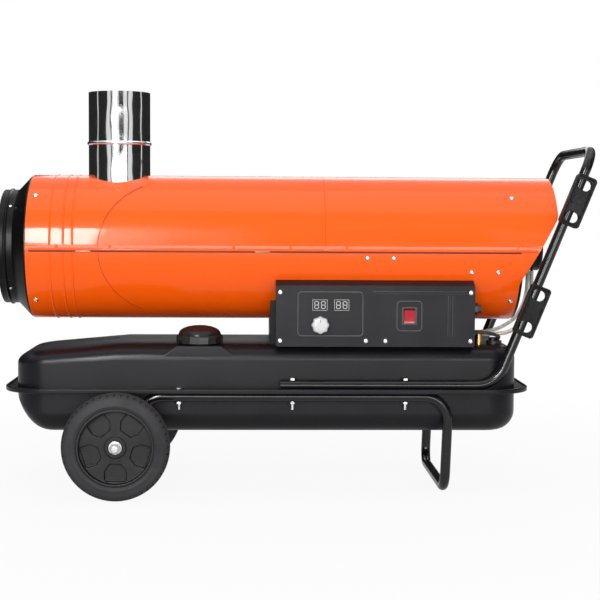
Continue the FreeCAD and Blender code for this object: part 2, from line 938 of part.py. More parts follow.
def ignition_electrodes():
    start = d.burner_rear_x + d.electrode_r - d.electrode_long
    pieces = []
    for side in SIDES.values():
        spot = (start, d.electrode_apart / 2 * side, TUBE_Z + d.electrode_up)
        pieces.append(cylinder(d.electrode_r, d.electrode_long, spot, "x"))
    return node("ignition_electrodes", group(pieces))


# Fan, motor and pump


def fan_shroud():
    ring = pipe(SHROUD_R, SHROUD_BORE_R, SHROUD_REAR_X - d.shroud_front_x,
                (d.shroud_front_x, 0, TUBE_Z), "x")
    return node("fan_shroud", cut(ring, *screw_holes()))


def fan_impeller():
    """A hub with twisted blades, lofted from root to tip and repeated round the axis."""
    body = doc.addObject("PartDesign::Body", "Impeller")
    half = d.fan_hub_long / 2
    hub = sketch_outline(body, "XZ", rectangle((-half, d.shaft_r), (half, d.fan_hub_r)))
    spin = body.newObject("PartDesign::Revolution", "Hub")
    spin.Profile = hub
    spin.ReferenceAxis = (hub, ["H_Axis"])
    spin.Angle = 360
    sections = []
    for dx, dy, radius in (
        (d.blade_root_dx, d.blade_root_dy, d.fan_hub_r * 0.7),
        (d.blade_tip_dx, d.blade_tip_dy, d.fan_tip_r),
    ):
        across = d.blade_thick / 2
        corners = [(dx, dy - across), (dx, dy + across), (-dx, across - dy), (-dx, -dy - across)]
        sections.append(sketch_outline(body, "XY", corners, radius))
    doc.recompute()
    blade = body.newObject("PartDesign::AdditiveLoft", "Blade")
    blade.Profile = sections[0]
    blade.Sections = sections[1:]
    blade.Ruled = True
    doc.recompute()
    pattern = body.newObject("PartDesign::PolarPattern", "Blades")
    pattern.Originals = [blade]
    axis = [f for f in body.Origin.OriginFeatures if f.Role == "X_Axis"][0]
    pattern.Axis = (axis, [""])
    pattern.Angle = 360
    pattern.Occurrences = int(d.blade_count.value)
    body.Tip = pattern
    place(body, (d.fan_x, 0, TUBE_Z))
    bore = cylinder(d.shaft_r, d.fan_hub_long * 2, (d.fan_x - d.fan_hub_long, 0, TUBE_Z), "x")
    return node("fan_impeller", cut(body, bore))


def motor_shaft():
    return node("motor_shaft", cylinder(d.shaft_r, d.shaft_rear_x - d.shaft_front_x,
                                        (d.shaft_front_x, 0, TUBE_Z), "x"))


def motor_body():
    """Motor housing with a bearing bore at each end and a wider bore between them."""
    long = d.motor_rear_x - d.motor_front_x
    can = pipe(d.motor_r, d.shaft_r + d.run_gap, long, (d.motor_front_x, 0, TUBE_Z), "x")
    room = cylinder(d.bearing_r, long - d.bearing_long * 2,
                    (d.motor_front_x + d.bearing_long, 0, TUBE_Z), "x")
    return node("motor_body", cut(can, room))


def motor_bracket():
    """Three-armed spider between the motor and the shroud."""
    x = d.motor_rear_x
    disc = cylinder(d.spider_r, d.spider_thick, (x, 0, TUBE_Z), "x")
    arms = [
        radial_bar(x, d.spider_thick, d.spider_wide, d.shaft_r, SHROUD_R, angle)
        for angle in (-90, 30, 150)
    ]
    reach = cylinder(SHROUD_BORE_R - d.fit_gap, d.spider_thick, (x, 0, TUBE_Z), "x")
    hole = cylinder(d.shaft_r + d.fit_gap, d.spider_thick + 2, (x - 1, 0, TUBE_Z), "x")
    return node("motor_bracket", cut(common(fuse(disc, *arms), reach), hole))


def pump_barbs():
    """Hose stubs below the pump: inlet on the near side, outlet on the far side."""
    return [
        cylinder(d.hose_bore_r - d.run_gap, d.barb_long * 2,
                 (PUMP_PORT_X, d.pump_port_apart / 2 * side, PUMP_PORT_Z - d.barb_long))
        for side in SIDES.values()
    ]


def fuel_pump():
    """Gear pump on the motor's rear end, with a shaft bore and two hose stubs."""
    front = PUMP_FRONT_X
    points = [
        (front, 0),
        (front, d.pump_neck_r),
        (PUMP_STEP_X, d.pump_neck_r),
        (PUMP_STEP_X, d.pump_r),
        (PUMP_REAR_X - d.hose_r, d.pump_r),
        (PUMP_REAR_X, d.pump_r - d.hose_r),
        (PUMP_REAR_X, 0),
    ]
    bore = cylinder(d.shaft_r + d.run_gap, d.shaft_rear_x - front + d.fit_gap + 1,
                    (front - 1, 0, TUBE_Z), "x")
    return node("fuel_pump", cut(fuse(turned(points, "x", AXIS), *pump_barbs()), bore))


def fan_guard():
    """Welded flat guard: rings and spokes behind the spider."""
    wide = d.guard_wire_r * 2
    x = d.motor_rear_x + d.spider_thick
    outer = SHROUD_BORE_R - d.fit_gap
    steps = int((outer.value - d.guard_inner_r.value) / d.guard_ring_step.value)
    radii = [d.guard_inner_r + d.guard_ring_step * i for i in range(steps + 1)]
    if outer.value - radii[-1].value < 3 * wide.value:
        radii.pop()
    radii.append(outer)
    wires = [pipe(r, r - wide, wide, (x, 0, TUBE_Z), "x") for r in radii]
    count = int(d.guard_spokes.value)
    for i in range(count):
        angle = 360 / count * (i + 0.5)
        wires.append(radial_bar(x + wide / 4, wide / 2, wide * 0.75, d.guard_inner_r - wide / 2,
                                outer - wide / 2, angle))
    return node("fan_guard", fuse(*wires))


# Fuel tank


def tank_block(inset, low, high, round_r, level):
    """A rounded block of the tank's plan; round_r is on the edges at one level."""
    front, rear = d.tank_front_x + inset, d.tank_rear_x - inset
    half = d.tank_half_w - inset
    body = slab("XY", rectangle((front, -half), (rear, half)), low, high)
    return body, front, half, d.tank_corner_r - inset, round_r - inset, level


def finish_block(body, corner_r, edge_r, is_rim):
    rounded(body, corner_r, is_along("z"))
    return rounded(body, edge_r, is_rim)


def upper_block(inset, low):
    """Upper half: its top is rounded into the walls, and then slopes down to the front."""
    high = d.tank_top_z - inset
    body, front, half, corner_r, edge_r, _ = tank_block(inset, low, high, d.tank_shoulder_r, high)

    def is_rim(edge):
        return edge.BoundBox.ZMin > high.value - 0.01

    finish_block(body, corner_r, edge_r, is_rim)
    wedge = [(d.tank_slope_x, high), (d.tank_slope_x, high + 1), (d.tank_front_x - 1, high + 1),
             (d.tank_front_x - 1, high - d.tank_slope_drop)]
    sketch = sketch_outline(body, "XZ", wedge, half + 1)
    pocket = body.newObject("PartDesign::Pocket", "Slope")
    pocket.Profile = sketch
    bind(pocket, "Length", (half + 1) * 2)
    return body


def lower_block(inset, high):
    """Lower half: its bottom is rounded into the walls, and rises in flats at the front."""
    low = d.tank_bottom_z + inset
    body, front, half, corner_r, edge_r, _ = tank_block(inset, low, high, d.tank_belly_r, low)

    def is_rim(edge):
        return edge.BoundBox.ZMax < low.value + 0.01

    finish_block(body, corner_r, edge_r, is_rim)
    nose = [
        (front - 1, low - 1),
        (front + d.belly_reach, low - 1),
        (front + d.belly_reach, low),
        (front + d.belly_reach * 0.5, low + d.belly_rise * 0.122),
        (front + d.belly_reach * 0.134, low + d.belly_rise * 0.49),
        (front, low + d.belly_rise),
        (front - 1, low + d.belly_rise),
    ]
    sketch = sketch_outline(body, "XZ", nose, half + 1)
    pocket = body.newObject("PartDesign::Pocket", "Nose")
    pocket.Profile = sketch
    bind(pocket, "Length", (half + 1) * 2)
    return body


def flange_plate(inset, low, high):
    """A flat plate of the flange's plan, with its corners concentric to the tank's."""
    body = slab("XY", rectangle(
        (d.tank_front_x - d.flange_front + inset, -(d.tank_half_w + d.flange_side - inset)),
        (d.tank_rear_x + d.flange_rear - inset, d.tank_half_w + d.flange_side - inset)), low, high)
    return rounded(body, d.tank_corner_r + d.flange_rear - inset, is_along("z"))


def bolt_holes(low, high):
    return [
        cylinder(d.bolt_r + d.hole_gap, as_size(high) - low, (x, RAIL_Y * side, low))
        for x in BOLT_XS for side in SIDES.values()
    ]


def tank_upper():
    outer = upper_block(as_size(0), d.tank_split_z)
    inner = upper_block(d.tank_wall, d.tank_split_z - 1)
    plate = flange_plate(d.hem_wide + d.fit_gap, d.tank_split_z, FLANGE_HIGH_Z)
    near = -(d.tank_half_w - d.tank_wall / 2)
    top = d.tank_top_z - d.tank_wall / 2
    boss = slab("XZ", [
        (d.neck_x - d.boss_low_half, top - d.boss_depth),
        (d.neck_x + d.boss_low_half, top - d.boss_depth),
        (d.neck_x + d.boss_top_half, top),
        (d.neck_x - d.boss_top_half, top),
    ], near, NECK_Y)
    neck = cylinder(d.neck_r + d.fit_gap, d.tank_top_z, (d.neck_x, NECK_Y, d.tank_bottom_z))
    pickup = cylinder(d.dip_r + d.fit_gap, d.tank_top_z, (d.pickup_x, PICKUP_Y, d.tank_bottom_z))
    holes = bolt_holes(d.tank_split_z - 1, FLANGE_HIGH_Z + 1)
    half = cut(fuse(cut(outer, inner), boss, cut(plate, inner)), neck, pickup, *holes)
    return node("tank_upper", half)


def tank_lower():
    outer = lower_block(as_size(0), d.tank_split_z)
    inner = lower_block(d.tank_wall, d.tank_split_z + 1)
    plate = flange_plate(as_size(0), FLANGE_LOW_Z, d.tank_split_z)
    middle = d.tank_split_z
    band = cut(flange_plate(as_size(0), middle - d.hem_high / 2, middle + d.hem_high / 2),
               flange_plate(d.hem_wide, middle - d.hem_high, middle + d.hem_high))
    drain = cylinder(d.drain_thread_r + d.fit_gap, d.tank_wall * 3,
                     (d.drain_x, 0, d.tank_bottom_z - d.tank_wall))
    holes = bolt_holes(FLANGE_LOW_Z - 1, middle + 1)
    return node("tank_lower", cut(fuse(cut(outer, inner), cut(plate, inner), band), drain, *holes))


def filler_neck():
    """Pressed neck through the boss, with a collar on the tank's top."""
    low = d.tank_top_z - d.neck_down
    tube = pipe(d.neck_r, d.neck_r - d.neck_wall, d.neck_up + d.neck_down, (d.neck_x, NECK_Y, low))
    collar = pipe(d.neck_r + d.neck_wall, d.neck_r - d.neck_wall, d.neck_wall / 2,
                  (d.neck_x, NECK_Y, d.tank_top_z))
    return node("filler_neck", fuse(tube, collar))


def fuel_cap():
    """Domed screw cap with a faceted skirt, hollow over the neck."""
    low = d.tank_top_z + d.cap_lift_gap
    seat = d.tank_top_z + d.neck_up + d.fit_gap + d.gasket_thick
    shoulder = low + d.cap_skirt
    bore = d.neck_r + d.neck_wall + d.cap_bore_gap
    points = [
        (low, bore),
        (low, d.cap_r),
        (shoulder, d.cap_top_r),
        (shoulder + d.cap_dome * 0.7, d.cap_top_r * 0.66),
        (shoulder + d.cap_dome, d.cap_top_r * 0.25),
        (shoulder + d.cap_dome, 0),
        (seat, 0),
        (seat, bore),
    ]
    return node("fuel_cap", turned(points, "z", (d.neck_x, NECK_Y, 0)))


def cap_gasket():
    low = d.tank_top_z + d.neck_up + d.fit_gap
    return node("cap_gasket", pipe(d.neck_r, d.neck_r - d.gasket_wide, d.gasket_thick - d.run_gap,
                                   (d.neck_x, NECK_Y, low)))


def hex_prism(across, length, centre, along):
    """A hexagon bar centred on its start point."""
    obj = doc.addObject("Part::Prism", "Hex")
    obj.Polygon = 6
    bind(obj, "Circumradius", across / math.sqrt(3))
    bind(obj, "Height", length)
    place(obj, centre, TURN[along])
    return obj


def drain_plug():
    head = hex_prism(d.drain_r * 2, d.drain_high, (d.drain_x, 0, d.tank_bottom_z - d.drain_high), "z")
    thread = cylinder(d.drain_thread_r, d.tank_wall * 2, (d.drain_x, 0, d.tank_bottom_z))
    return node("drain_plug", fuse(head, thread))


def fuel_pickup():
    """Elbow on the tank's top with a dip tube and a hose stub towards the rear."""
    top = d.pickup_z + d.pickup_r
    at = (d.pickup_x, PICKUP_Y)
    elbow = cylinder(d.pickup_r, top - d.tank_top_z, (*at, d.tank_top_z))
    dip = d.tank_bottom_z + d.tank_wall + d.dip_clear
    tube = cylinder(d.dip_r, d.tank_top_z - dip + 1, (*at, dip))
    barb = cylinder(d.hose_bore_r - d.run_gap, d.pickup_r + d.barb_long, (*at, d.pickup_z), "x")
    return node("fuel_pickup", fuse(elbow, tube, barb))


def level_sender():
    """Round fuel level sender on the rear of the tank's top."""
    base = cylinder(d.sender_r, d.sender_high / 2, (d.sender_x, SENDER_Y, d.tank_top_z))
    head = cylinder(d.sender_r * 0.7, d.sender_high, (d.sender_x, SENDER_Y, d.tank_top_z))
    return node("level_sender", fuse(base, head))


# Hoses, pipe and cable: their points are chosen by hand along the photographed route


def supply_hose():
    """Clear hose from the pump's near stub, round under the tube, to the tank elbow."""
    port_y = -d.pump_port_apart / 2
    end_x = d.pickup_x + d.pickup_r + d.fit_gap
    points = [
        (PUMP_PORT_X, port_y, PUMP_PORT_Z - d.fit_gap),
        (PUMP_PORT_X, port_y, PUMP_PORT_Z - 36),
        (PUMP_PORT_X - 5, port_y - 20, PUMP_PORT_Z - 66),
        (PUMP_PORT_X - 20, port_y - 45, PUMP_PORT_Z - 94),
        (PUMP_PORT_X - 44, port_y - 65, PUMP_PORT_Z - 111),
        (end_x + 38, PICKUP_Y, d.pickup_z),
        (end_x, PICKUP_Y, d.pickup_z),
    ]
    tube = bent_tube("SupplyHose", points, hose_radii("supply hose", points), d.hose_r, d.hose_bore_r)
    return node("supply_hose", tube)


def pressure_hose():
    """Clear hose from the pump's far stub to the valve in the pedestal."""
    port_y = d.pump_port_apart / 2
    end_x = d.box_rear_x + d.barb_long / 4
    points = [
        (PUMP_PORT_X, port_y, PUMP_PORT_Z - d.fit_gap),
        (PUMP_PORT_X, port_y, PUMP_PORT_Z - 36),
        (PUMP_PORT_X - 5, port_y + 4, PUMP_PORT_Z - 66),
        (PUMP_PORT_X - 20, port_y + 6, PUMP_PORT_Z - 96),
        (PUMP_PORT_X - 46, port_y + 4, PUMP_PORT_Z - 114),
        (end_x + 56, 8, VALVE_Z + 2),
        (end_x + 28, 0, VALVE_Z),
        (end_x, 0, VALVE_Z),
    ]
    tube = bent_tube("PressureHose", points, hose_radii("pressure hose", points),
                     d.hose_r, d.hose_bore_r)
    return node("pressure_hose", tube)


def solenoid_valve():
    """Fuel valve against the pedestal's rear wall; its stub comes out through the wall."""
    rear = d.box_rear_x - d.support_wall
    low_z = d.tank_top_z + d.support_wall
    block = box((rear - d.valve_long, -d.valve_wide / 2, low_z),
                (rear, d.valve_wide / 2, low_z + d.valve_high))
    barb = cylinder(d.hose_bore_r - d.run_gap, d.valve_long / 2 + d.support_wall + d.barb_long,
                    (rear - d.valve_long / 2, 0, VALVE_Z), "x")
    port = cylinder(d.pipe_r, d.pipe_r, (rear - d.valve_long - 1, 0, VALVE_Z), "x")
    return node("solenoid_valve", cut(fuse(block, barb), port))


def nozzle_pipe():
    """Copper pipe from the valve up through the lower shell to the nozzle."""
    start = d.box_rear_x - d.support_wall - d.valve_long + d.pipe_r / 2
    points = [
        (start, 0, VALVE_Z),
        (d.pipe_x, 0, VALVE_Z),
        (d.pipe_x, 0, TUBE_Z),
        (d.burner_rear_x + d.fit_gap, 0, TUBE_Z),
    ]
    bend = float(d.pipe_bend_r)
    tube = bent_tube("NozzlePipe", points, [bend, bend], d.pipe_r - d.run_gap, d.pipe_bore_r)
    return node("nozzle_pipe", tube)


def sender_cable():
    """Black lead from the control box's end to the level sender."""
    start_x = d.box_rear_x + d.fit_gap
    points = [
        (start_x, d.cable_exit_y, d.cable_exit_z),
        (start_x + 18, d.cable_exit_y, d.cable_exit_z),
        (start_x + 36, d.cable_exit_y + 4, d.cable_exit_z - 2),
        (start_x + 52, d.cable_exit_y + 16, d.cable_exit_z - 8),
        (d.sender_x + 6, SENDER_Y - 26, d.tank_top_z + d.sender_high + 1),
        (d.sender_x + 1, SENDER_Y - d.sender_r * 0.7 - d.fit_gap * 3,
         d.tank_top_z + d.sender_high - d.cable_r),
    ]
    radii = hose_radii("sender cable", points)
    path = bent_path([FreeCAD.Vector(*map(float, p)) for p in points], radii)
    feature = doc.addObject("Part::Feature", "SenderCable")
    feature.Shape = swept(path, float(d.cable_r))
    return node("sender_cable", feature)


# Frame, handle, wheels


def rail_points():
    """Centre line of the frame tube, from one axle end round the leg to the other."""
    drop = math.hypot(float(d.rail_front_x - d.wheel_x), float(RAIL_Z - AXLE_Z))
    past = float(d.axle_end) / drop
    end_x = float(d.wheel_x) - float(d.rail_front_x - d.wheel_x) * past
    end_z = float(AXLE_Z) - float(RAIL_Z - AXLE_Z) * past
    half = [(end_x, end_z), (d.rail_front_x, RAIL_Z), (d.leg_top_x, RAIL_Z), (d.leg_foot_x, d.rail_r)]
    near = [(x, -RAIL_Y, z) for x, z in half]
    far = [(x, RAIL_Y, z) for x, z in reversed(half)]
    return near + far


def chassis_frame():
    bend, foot = float(d.rail_bend_r), float(d.leg_foot_bend_r)
    tube = bent_tube("FrameTube", rail_points(), [bend, bend, foot, foot, bend, bend],
                     d.rail_r, d.rail_bore_r)
    axle = cylinder(d.axle_r + d.hole_gap / 2, RAIL_Y * 4, (d.wheel_x, -RAIL_Y * 2, AXLE_Z), "y")
    holes = bolt_holes(RAIL_Z - d.rail_r - 1, FLANGE_LOW_Z + 1)
    return node("chassis_frame", cut(tube, axle, *holes))


def push_handle():
    half = [(d.handle_front_x, HANDLE_Z), (d.handle_bend_x, HANDLE_Z), (d.handle_top_x, d.handle_top_z)]
    points = [(x, -RAIL_Y, z) for x, z in half] + [(x, RAIL_Y, z) for x, z in reversed(half)]
    bend, grip = float(d.handle_bend_r), float(d.handle_grip_bend_r)
    tube = bent_tube("HandleTube", points, [bend, grip, grip, bend], d.rail_r, d.rail_bore_r)
    holes = bolt_holes(FLANGE_HIGH_Z - 1, HANDLE_Z + d.rail_r + 1)
    return node("push_handle", cut(tube, *holes, *hook_bolt_holes()))


def handle_frame(z):
    """Point on the near sloped handle tube at a height, with its turn: across, along, outwards."""
    rise = float(d.handle_top_z - HANDLE_Z)
    run = float(d.handle_top_x - d.handle_bend_x)
    along = FreeCAD.Vector(run, 0, rise).normalize()
    across = FreeCAD.Vector(along.z, 0, -along.x)
    turn = FreeCAD.Rotation(across, along, FreeCAD.Vector(0, -1, 0), "XYZ")
    share = (z - HANDLE_Z) / (d.handle_top_z - HANDLE_Z)
    x = d.handle_bend_x + (d.handle_top_x - d.handle_bend_x) * share
    return (x, -RAIL_Y, z), turn


def cord_hook(z):
    """Moulded plate clamped on the near handle tube, with two finger holes and a rim."""
    half_w, half_l = d.hook_wide / 2, d.hook_long / 2
    body = slab("XY", rectangle((d.hook_shift - half_w, -half_l), (d.hook_shift + half_w, half_l)),
                as_size(0), d.hook_deep)
    rounded(body, d.hook_corner_r, is_along("z"))
    recess = slab("XY", rectangle(
        (d.hook_shift - half_w + d.hook_rim, -half_l + d.hook_rim),
        (d.hook_shift + half_w - d.hook_rim, half_l - d.hook_rim)),
        d.hook_deep - d.hook_recess, d.hook_deep + 1)
    rounded(recess, d.hook_corner_r - d.hook_rim, is_along("z"))
    tools = [recess, cylinder(d.rail_r + d.fit_gap / 2, d.hook_long + 2, (0, -half_l - 1, 0), "y")]
    for end in (-1, 1):
        y = d.hook_hole_pitch / 2 * end
        half_slot = d.hook_hole_slot / 2
        for side in (-1, 1):
            tools.append(cylinder(d.hook_hole_r, d.hook_deep * 2,
                                  (d.hook_shift + half_slot * side, y, -d.hook_deep / 2)))
        tools.append(box((d.hook_shift - half_slot, y - d.hook_hole_r, -d.hook_deep / 2),
                         (d.hook_shift + half_slot, y + d.hook_hole_r, d.hook_deep * 1.5)))
    tools.append(cylinder(d.hook_bolt_r + d.hole_gap, d.hook_deep * 2, (0, 0, -d.hook_deep / 2)))
    plate = cut(body, *tools)
    spot, turn = handle_frame(z)
    place(plate, spot, turn)
    return plate


def cord_hooks():
    return node("cord_hooks", group([cord_hook(d.hook_low_z), cord_hook(d.hook_high_z)]))


def hook_bolt_holes():
    """Cross holes of the hook bolts in the near handle tube."""
    holes = []
    for z in (d.hook_low_z, d.hook_high_z):
        spot, _ = handle_frame(z)
        start = (spot[0], spot[1] - d.rail_r - 1, spot[2])
        holes.append(cylinder(d.hook_bolt_r + d.hole_gap, d.rail_r * 2 + 2, start, "y"))
    return holes


def cord_hook_bolts():
    """Bolts through hook plate and tube, each with a nut behind the tube."""
    pieces = []
    for z in (d.hook_low_z, d.hook_high_z):
        spot, _ = handle_frame(z)
        x, height = spot[0], spot[2]
        face = -RAIL_Y - d.hook_deep + d.hook_recess
        back = -RAIL_Y + d.rail_r
        head = cylinder(d.bolt_head_r, d.bolt_head_high - d.fit_gap,
                        (x, face - d.bolt_head_high + d.fit_gap, height), "y")
        shank = cylinder(d.hook_bolt_r, back - face + d.bolt_head_high, (x, face, height), "y")
        nut = hex_prism(d.bolt_head_r * 2, d.bolt_head_high, (x, back, height), "y")
        pieces.append(fuse(head, shank, nut))
    return node("cord_hook_bolts", group(pieces))


def frame_fasteners():
    """Long bolts down through handle tube, flange and frame tube, with hexagon nuts."""
    bolts, nuts = [], []
    for i, x in enumerate(BOLT_XS):
        seat = FLANGE_HIGH_Z if i == 0 else HANDLE_Z + d.rail_r
        under = RAIL_Z - d.rail_r
        tip = under - d.bolt_head_high - d.bolt_tail
        for side in SIDES.values():
            y = RAIL_Y * side
            head = hex_prism(d.bolt_head_r * 2, d.bolt_head_high, (x, y, seat), "z")
            shank = cylinder(d.bolt_r, seat - tip + 1, (x, y, tip))
            bolts.append(fuse(head, shank))
            nut = hex_prism(d.bolt_head_r * 2, d.bolt_head_high, (x, y, under - d.bolt_head_high), "z")
            bore = cylinder(d.bolt_r, d.bolt_head_high + 2, (x, y, under - d.bolt_head_high - 1))
            nuts.append(cut(nut, bore))
    node("frame_bolts", group(bolts))
    node("frame_nuts", group(nuts))


WHEEL_IN_Y = RAIL_Y + d.rail_r + d.spacer_long + d.fit_gap
WHEEL_OUT_Y = WHEEL_IN_Y + d.wheel_wide
HUB_OUT_Y = WHEEL_OUT_Y - d.hub_boss_in


def wheel_tyre(name, side):
    """Rubber tyre with a crowned tread, turned about the axle."""
    low, high = WHEEL_IN_Y, WHEEL_OUT_Y
    points = [
        (low + d.tyre_shoulder / 2, d.tyre_inner_r),
        (low, d.wheel_r - d.tyre_crown * 2),
        (low + d.tyre_shoulder, d.wheel_r - d.tyre_crown / 4),
        (low + d.tyre_shoulder * 2, d.wheel_r),
        (high - d.tyre_shoulder * 2, d.wheel_r),
        (high - d.tyre_shoulder, d.wheel_r - d.tyre_crown / 4),
        (high, d.wheel_r - d.tyre_crown * 2),
        (high - d.tyre_shoulder / 2, d.tyre_inner_r),
    ]
    points = [(y * side, r) for y, r in points]
    return node(f"wheel_tyre_{name}", turned(points, "y", (d.wheel_x, 0, AXLE_Z)))


def wheel_hub(name, side):
    """Moulded hub: rim, web with closed pockets on its outer face, and a boss on the axle."""
    low, high = WHEEL_IN_Y + d.tyre_shoulder, WHEEL_OUT_Y - d.tyre_shoulder / 2
    rim_in = d.tyre_inner_r - d.hub_rim
    web_high = HUB_OUT_Y - d.washer_thick
    web_low = web_high - d.hub_web
    points = [
        (WHEEL_IN_Y, d.axle_r + d.run_gap),
        (HUB_OUT_Y, d.axle_r + d.run_gap),
        (HUB_OUT_Y, d.hub_boss_r),
        (web_high, d.hub_boss_r),
        (web_high, rim_in),
        (high, rim_in),
        (high, d.tyre_inner_r),
        (low, d.tyre_inner_r),
        (low, rim_in),
        (web_low, rim_in),
        (web_low, d.hub_boss_r),
        (WHEEL_IN_Y, d.hub_boss_r),
    ]
    hub = turned([(y * side, r) for y, r in points], "y", (d.wheel_x, 0, AXLE_Z))
    pockets = []
    count = int(d.hub_pockets.value)
    ys = sorted(((web_high - d.hub_pocket_deep) * side, (web_high + 1) * side), key=float)
    for i in range(count):
        pocket = slab("XZ", [
            (-d.hub_pocket_low_half, d.hub_pocket_low_r),
            (d.hub_pocket_low_half, d.hub_pocket_low_r),
            (d.hub_pocket_high_half, d.hub_pocket_mid_r),
            (d.hub_pocket_high_half, d.hub_pocket_high_r),
            (-d.hub_pocket_high_half, d.hub_pocket_high_r),
            (-d.hub_pocket_high_half, d.hub_pocket_mid_r),
        ], *ys)
        rounded(pocket, d.hub_pocket_r, is_along("y"))
        place(pocket, (d.wheel_x, 0, AXLE_Z), FreeCAD.Rotation(FreeCAD.Vector(0, 1, 0), 180 + 360 / count * i))
        pockets.append(pocket)
    return node(f"wheel_hub_{name}", cut(hub, *pockets))


def axle_pieces():
    """The axle rod with its spacers, washers and nuts, alike on both sides."""
    end = HUB_OUT_Y + d.fit_gap + d.washer_thick + d.nut_thick + d.washer_thick
    node("axle", cylinder(d.axle_r, end * 2, (d.wheel_x, -end, AXLE_Z), "y"))
    spacers, washers, nuts = [], [], []
    for side in SIDES.values():
        def start(low, high, side=side):
            return (d.wheel_x, low if side > 0 else -high, AXLE_Z)
        inner = RAIL_Y + d.rail_r
        outer = inner + d.spacer_long
        spacers.append(pipe(d.spacer_r, d.axle_r + d.run_gap, outer - inner, start(inner, outer), "y"))
        face = HUB_OUT_Y + d.fit_gap
        seat = face + d.washer_thick
        washers.append(pipe(d.washer_r, d.axle_r + d.run_gap, d.washer_thick, start(face, seat), "y"))
        nut = hex_prism(d.nut_flat, d.nut_thick, start(seat, seat + d.nut_thick), "y")
        bore = cylinder(d.axle_r, d.nut_thick + 2, start(seat - 1, seat + d.nut_thick + 1), "y")
        nuts.append(cut(nut, bore))
    node("axle_spacers", group(spacers))
    node("axle_washers", group(washers))
    node("axle_nuts", group(nuts))


# Pedestal and control box


def tube_room():
    """The tube with clearance, cut out of what stands under it."""
    return cylinder(d.tube_r + d.fit_gap, d.upper_rear_x * 3,
                    (-d.upper_rear_x * 1.5, 0, TUBE_Z), "x")


def body_support():
    """Sheet pedestal whose walls are cut to cradle the tube."""
    wall = d.support_wall
    low = (d.support_front_x, -d.support_half_w, d.tank_top_z)
    high = (d.box_rear_x, d.support_half_w, TUBE_Z)
    inner = box((low[0] + wall, low[1] + wall, low[2] + wall),
                (high[0] - wall, high[1] - wall, high[2] + 1))
    port = cylinder(d.hose_r + d.fit_gap, wall + 2, (d.box_rear_x - wall - 1, 0, VALVE_Z), "x")
    return node("body_support", cut(box(low, high), inner, tube_room(), port))


def box_section(inset):
    """Section of the control box, seen along X: upright face, sloped roof, open back."""
    back = -(d.support_half_w + d.fit_gap)
    return [
        (back - inset, d.box_low_z + inset),
        (PANEL_BACK_Y + inset, d.box_low_z + inset),
        (PANEL_BACK_Y + inset, d.box_high_z - inset),
        (d.box_roof_y, d.box_roof_z - inset),
        (back - inset, d.box_roof_z - inset),
    ]


def panel_screw_places():
    low, high = d.box_low_z + d.panel_screw_up, d.box_high_z - d.panel_screw_down
    front, rear = d.box_front_x + d.panel_screw_in, d.box_rear_x - d.panel_screw_in
    return [(front, low), (front, high), (rear, low), (rear, high),
            (d.panel_mid_a_x, low), (d.panel_mid_b_x, low)]


def panel_screw_holes():
    return [
        cylinder(d.screw_r + d.hole_gap, d.panel_thick + d.screw_long * 2,
                 (x, PANEL_FACE_Y - 1, z), "y")
        for x, z in panel_screw_places()
    ]


def control_box():
    """Folded steel box behind the panel, with a flange round its front opening."""
    wall = d.box_wall
    outer = slab("YZ", box_section(as_size(0)), d.box_front_x, d.box_rear_x)
    inner = slab("YZ", box_section(wall), d.box_front_x + wall, d.box_rear_x - wall)
    window = box((d.box_front_x + d.box_flange, PANEL_BACK_Y - 1, d.box_low_z + d.box_flange),
                 (d.box_rear_x - d.box_flange, PANEL_BACK_Y + wall + 1, d.box_high_z - d.box_flange))
    room = cylinder(d.tube_r + d.fit_gap, d.upper_rear_x * 3,
                    (-d.upper_rear_x * 1.5, 0, TUBE_Z), "x")
    gland = cylinder(d.gland_bore_r + d.gland_bore_r / 3, wall * 4,
                     (d.box_rear_x - wall * 2, d.gland_y, d.gland_z), "x")
    return node("control_box", cut(outer, inner, window, room, gland, *panel_screw_holes()))


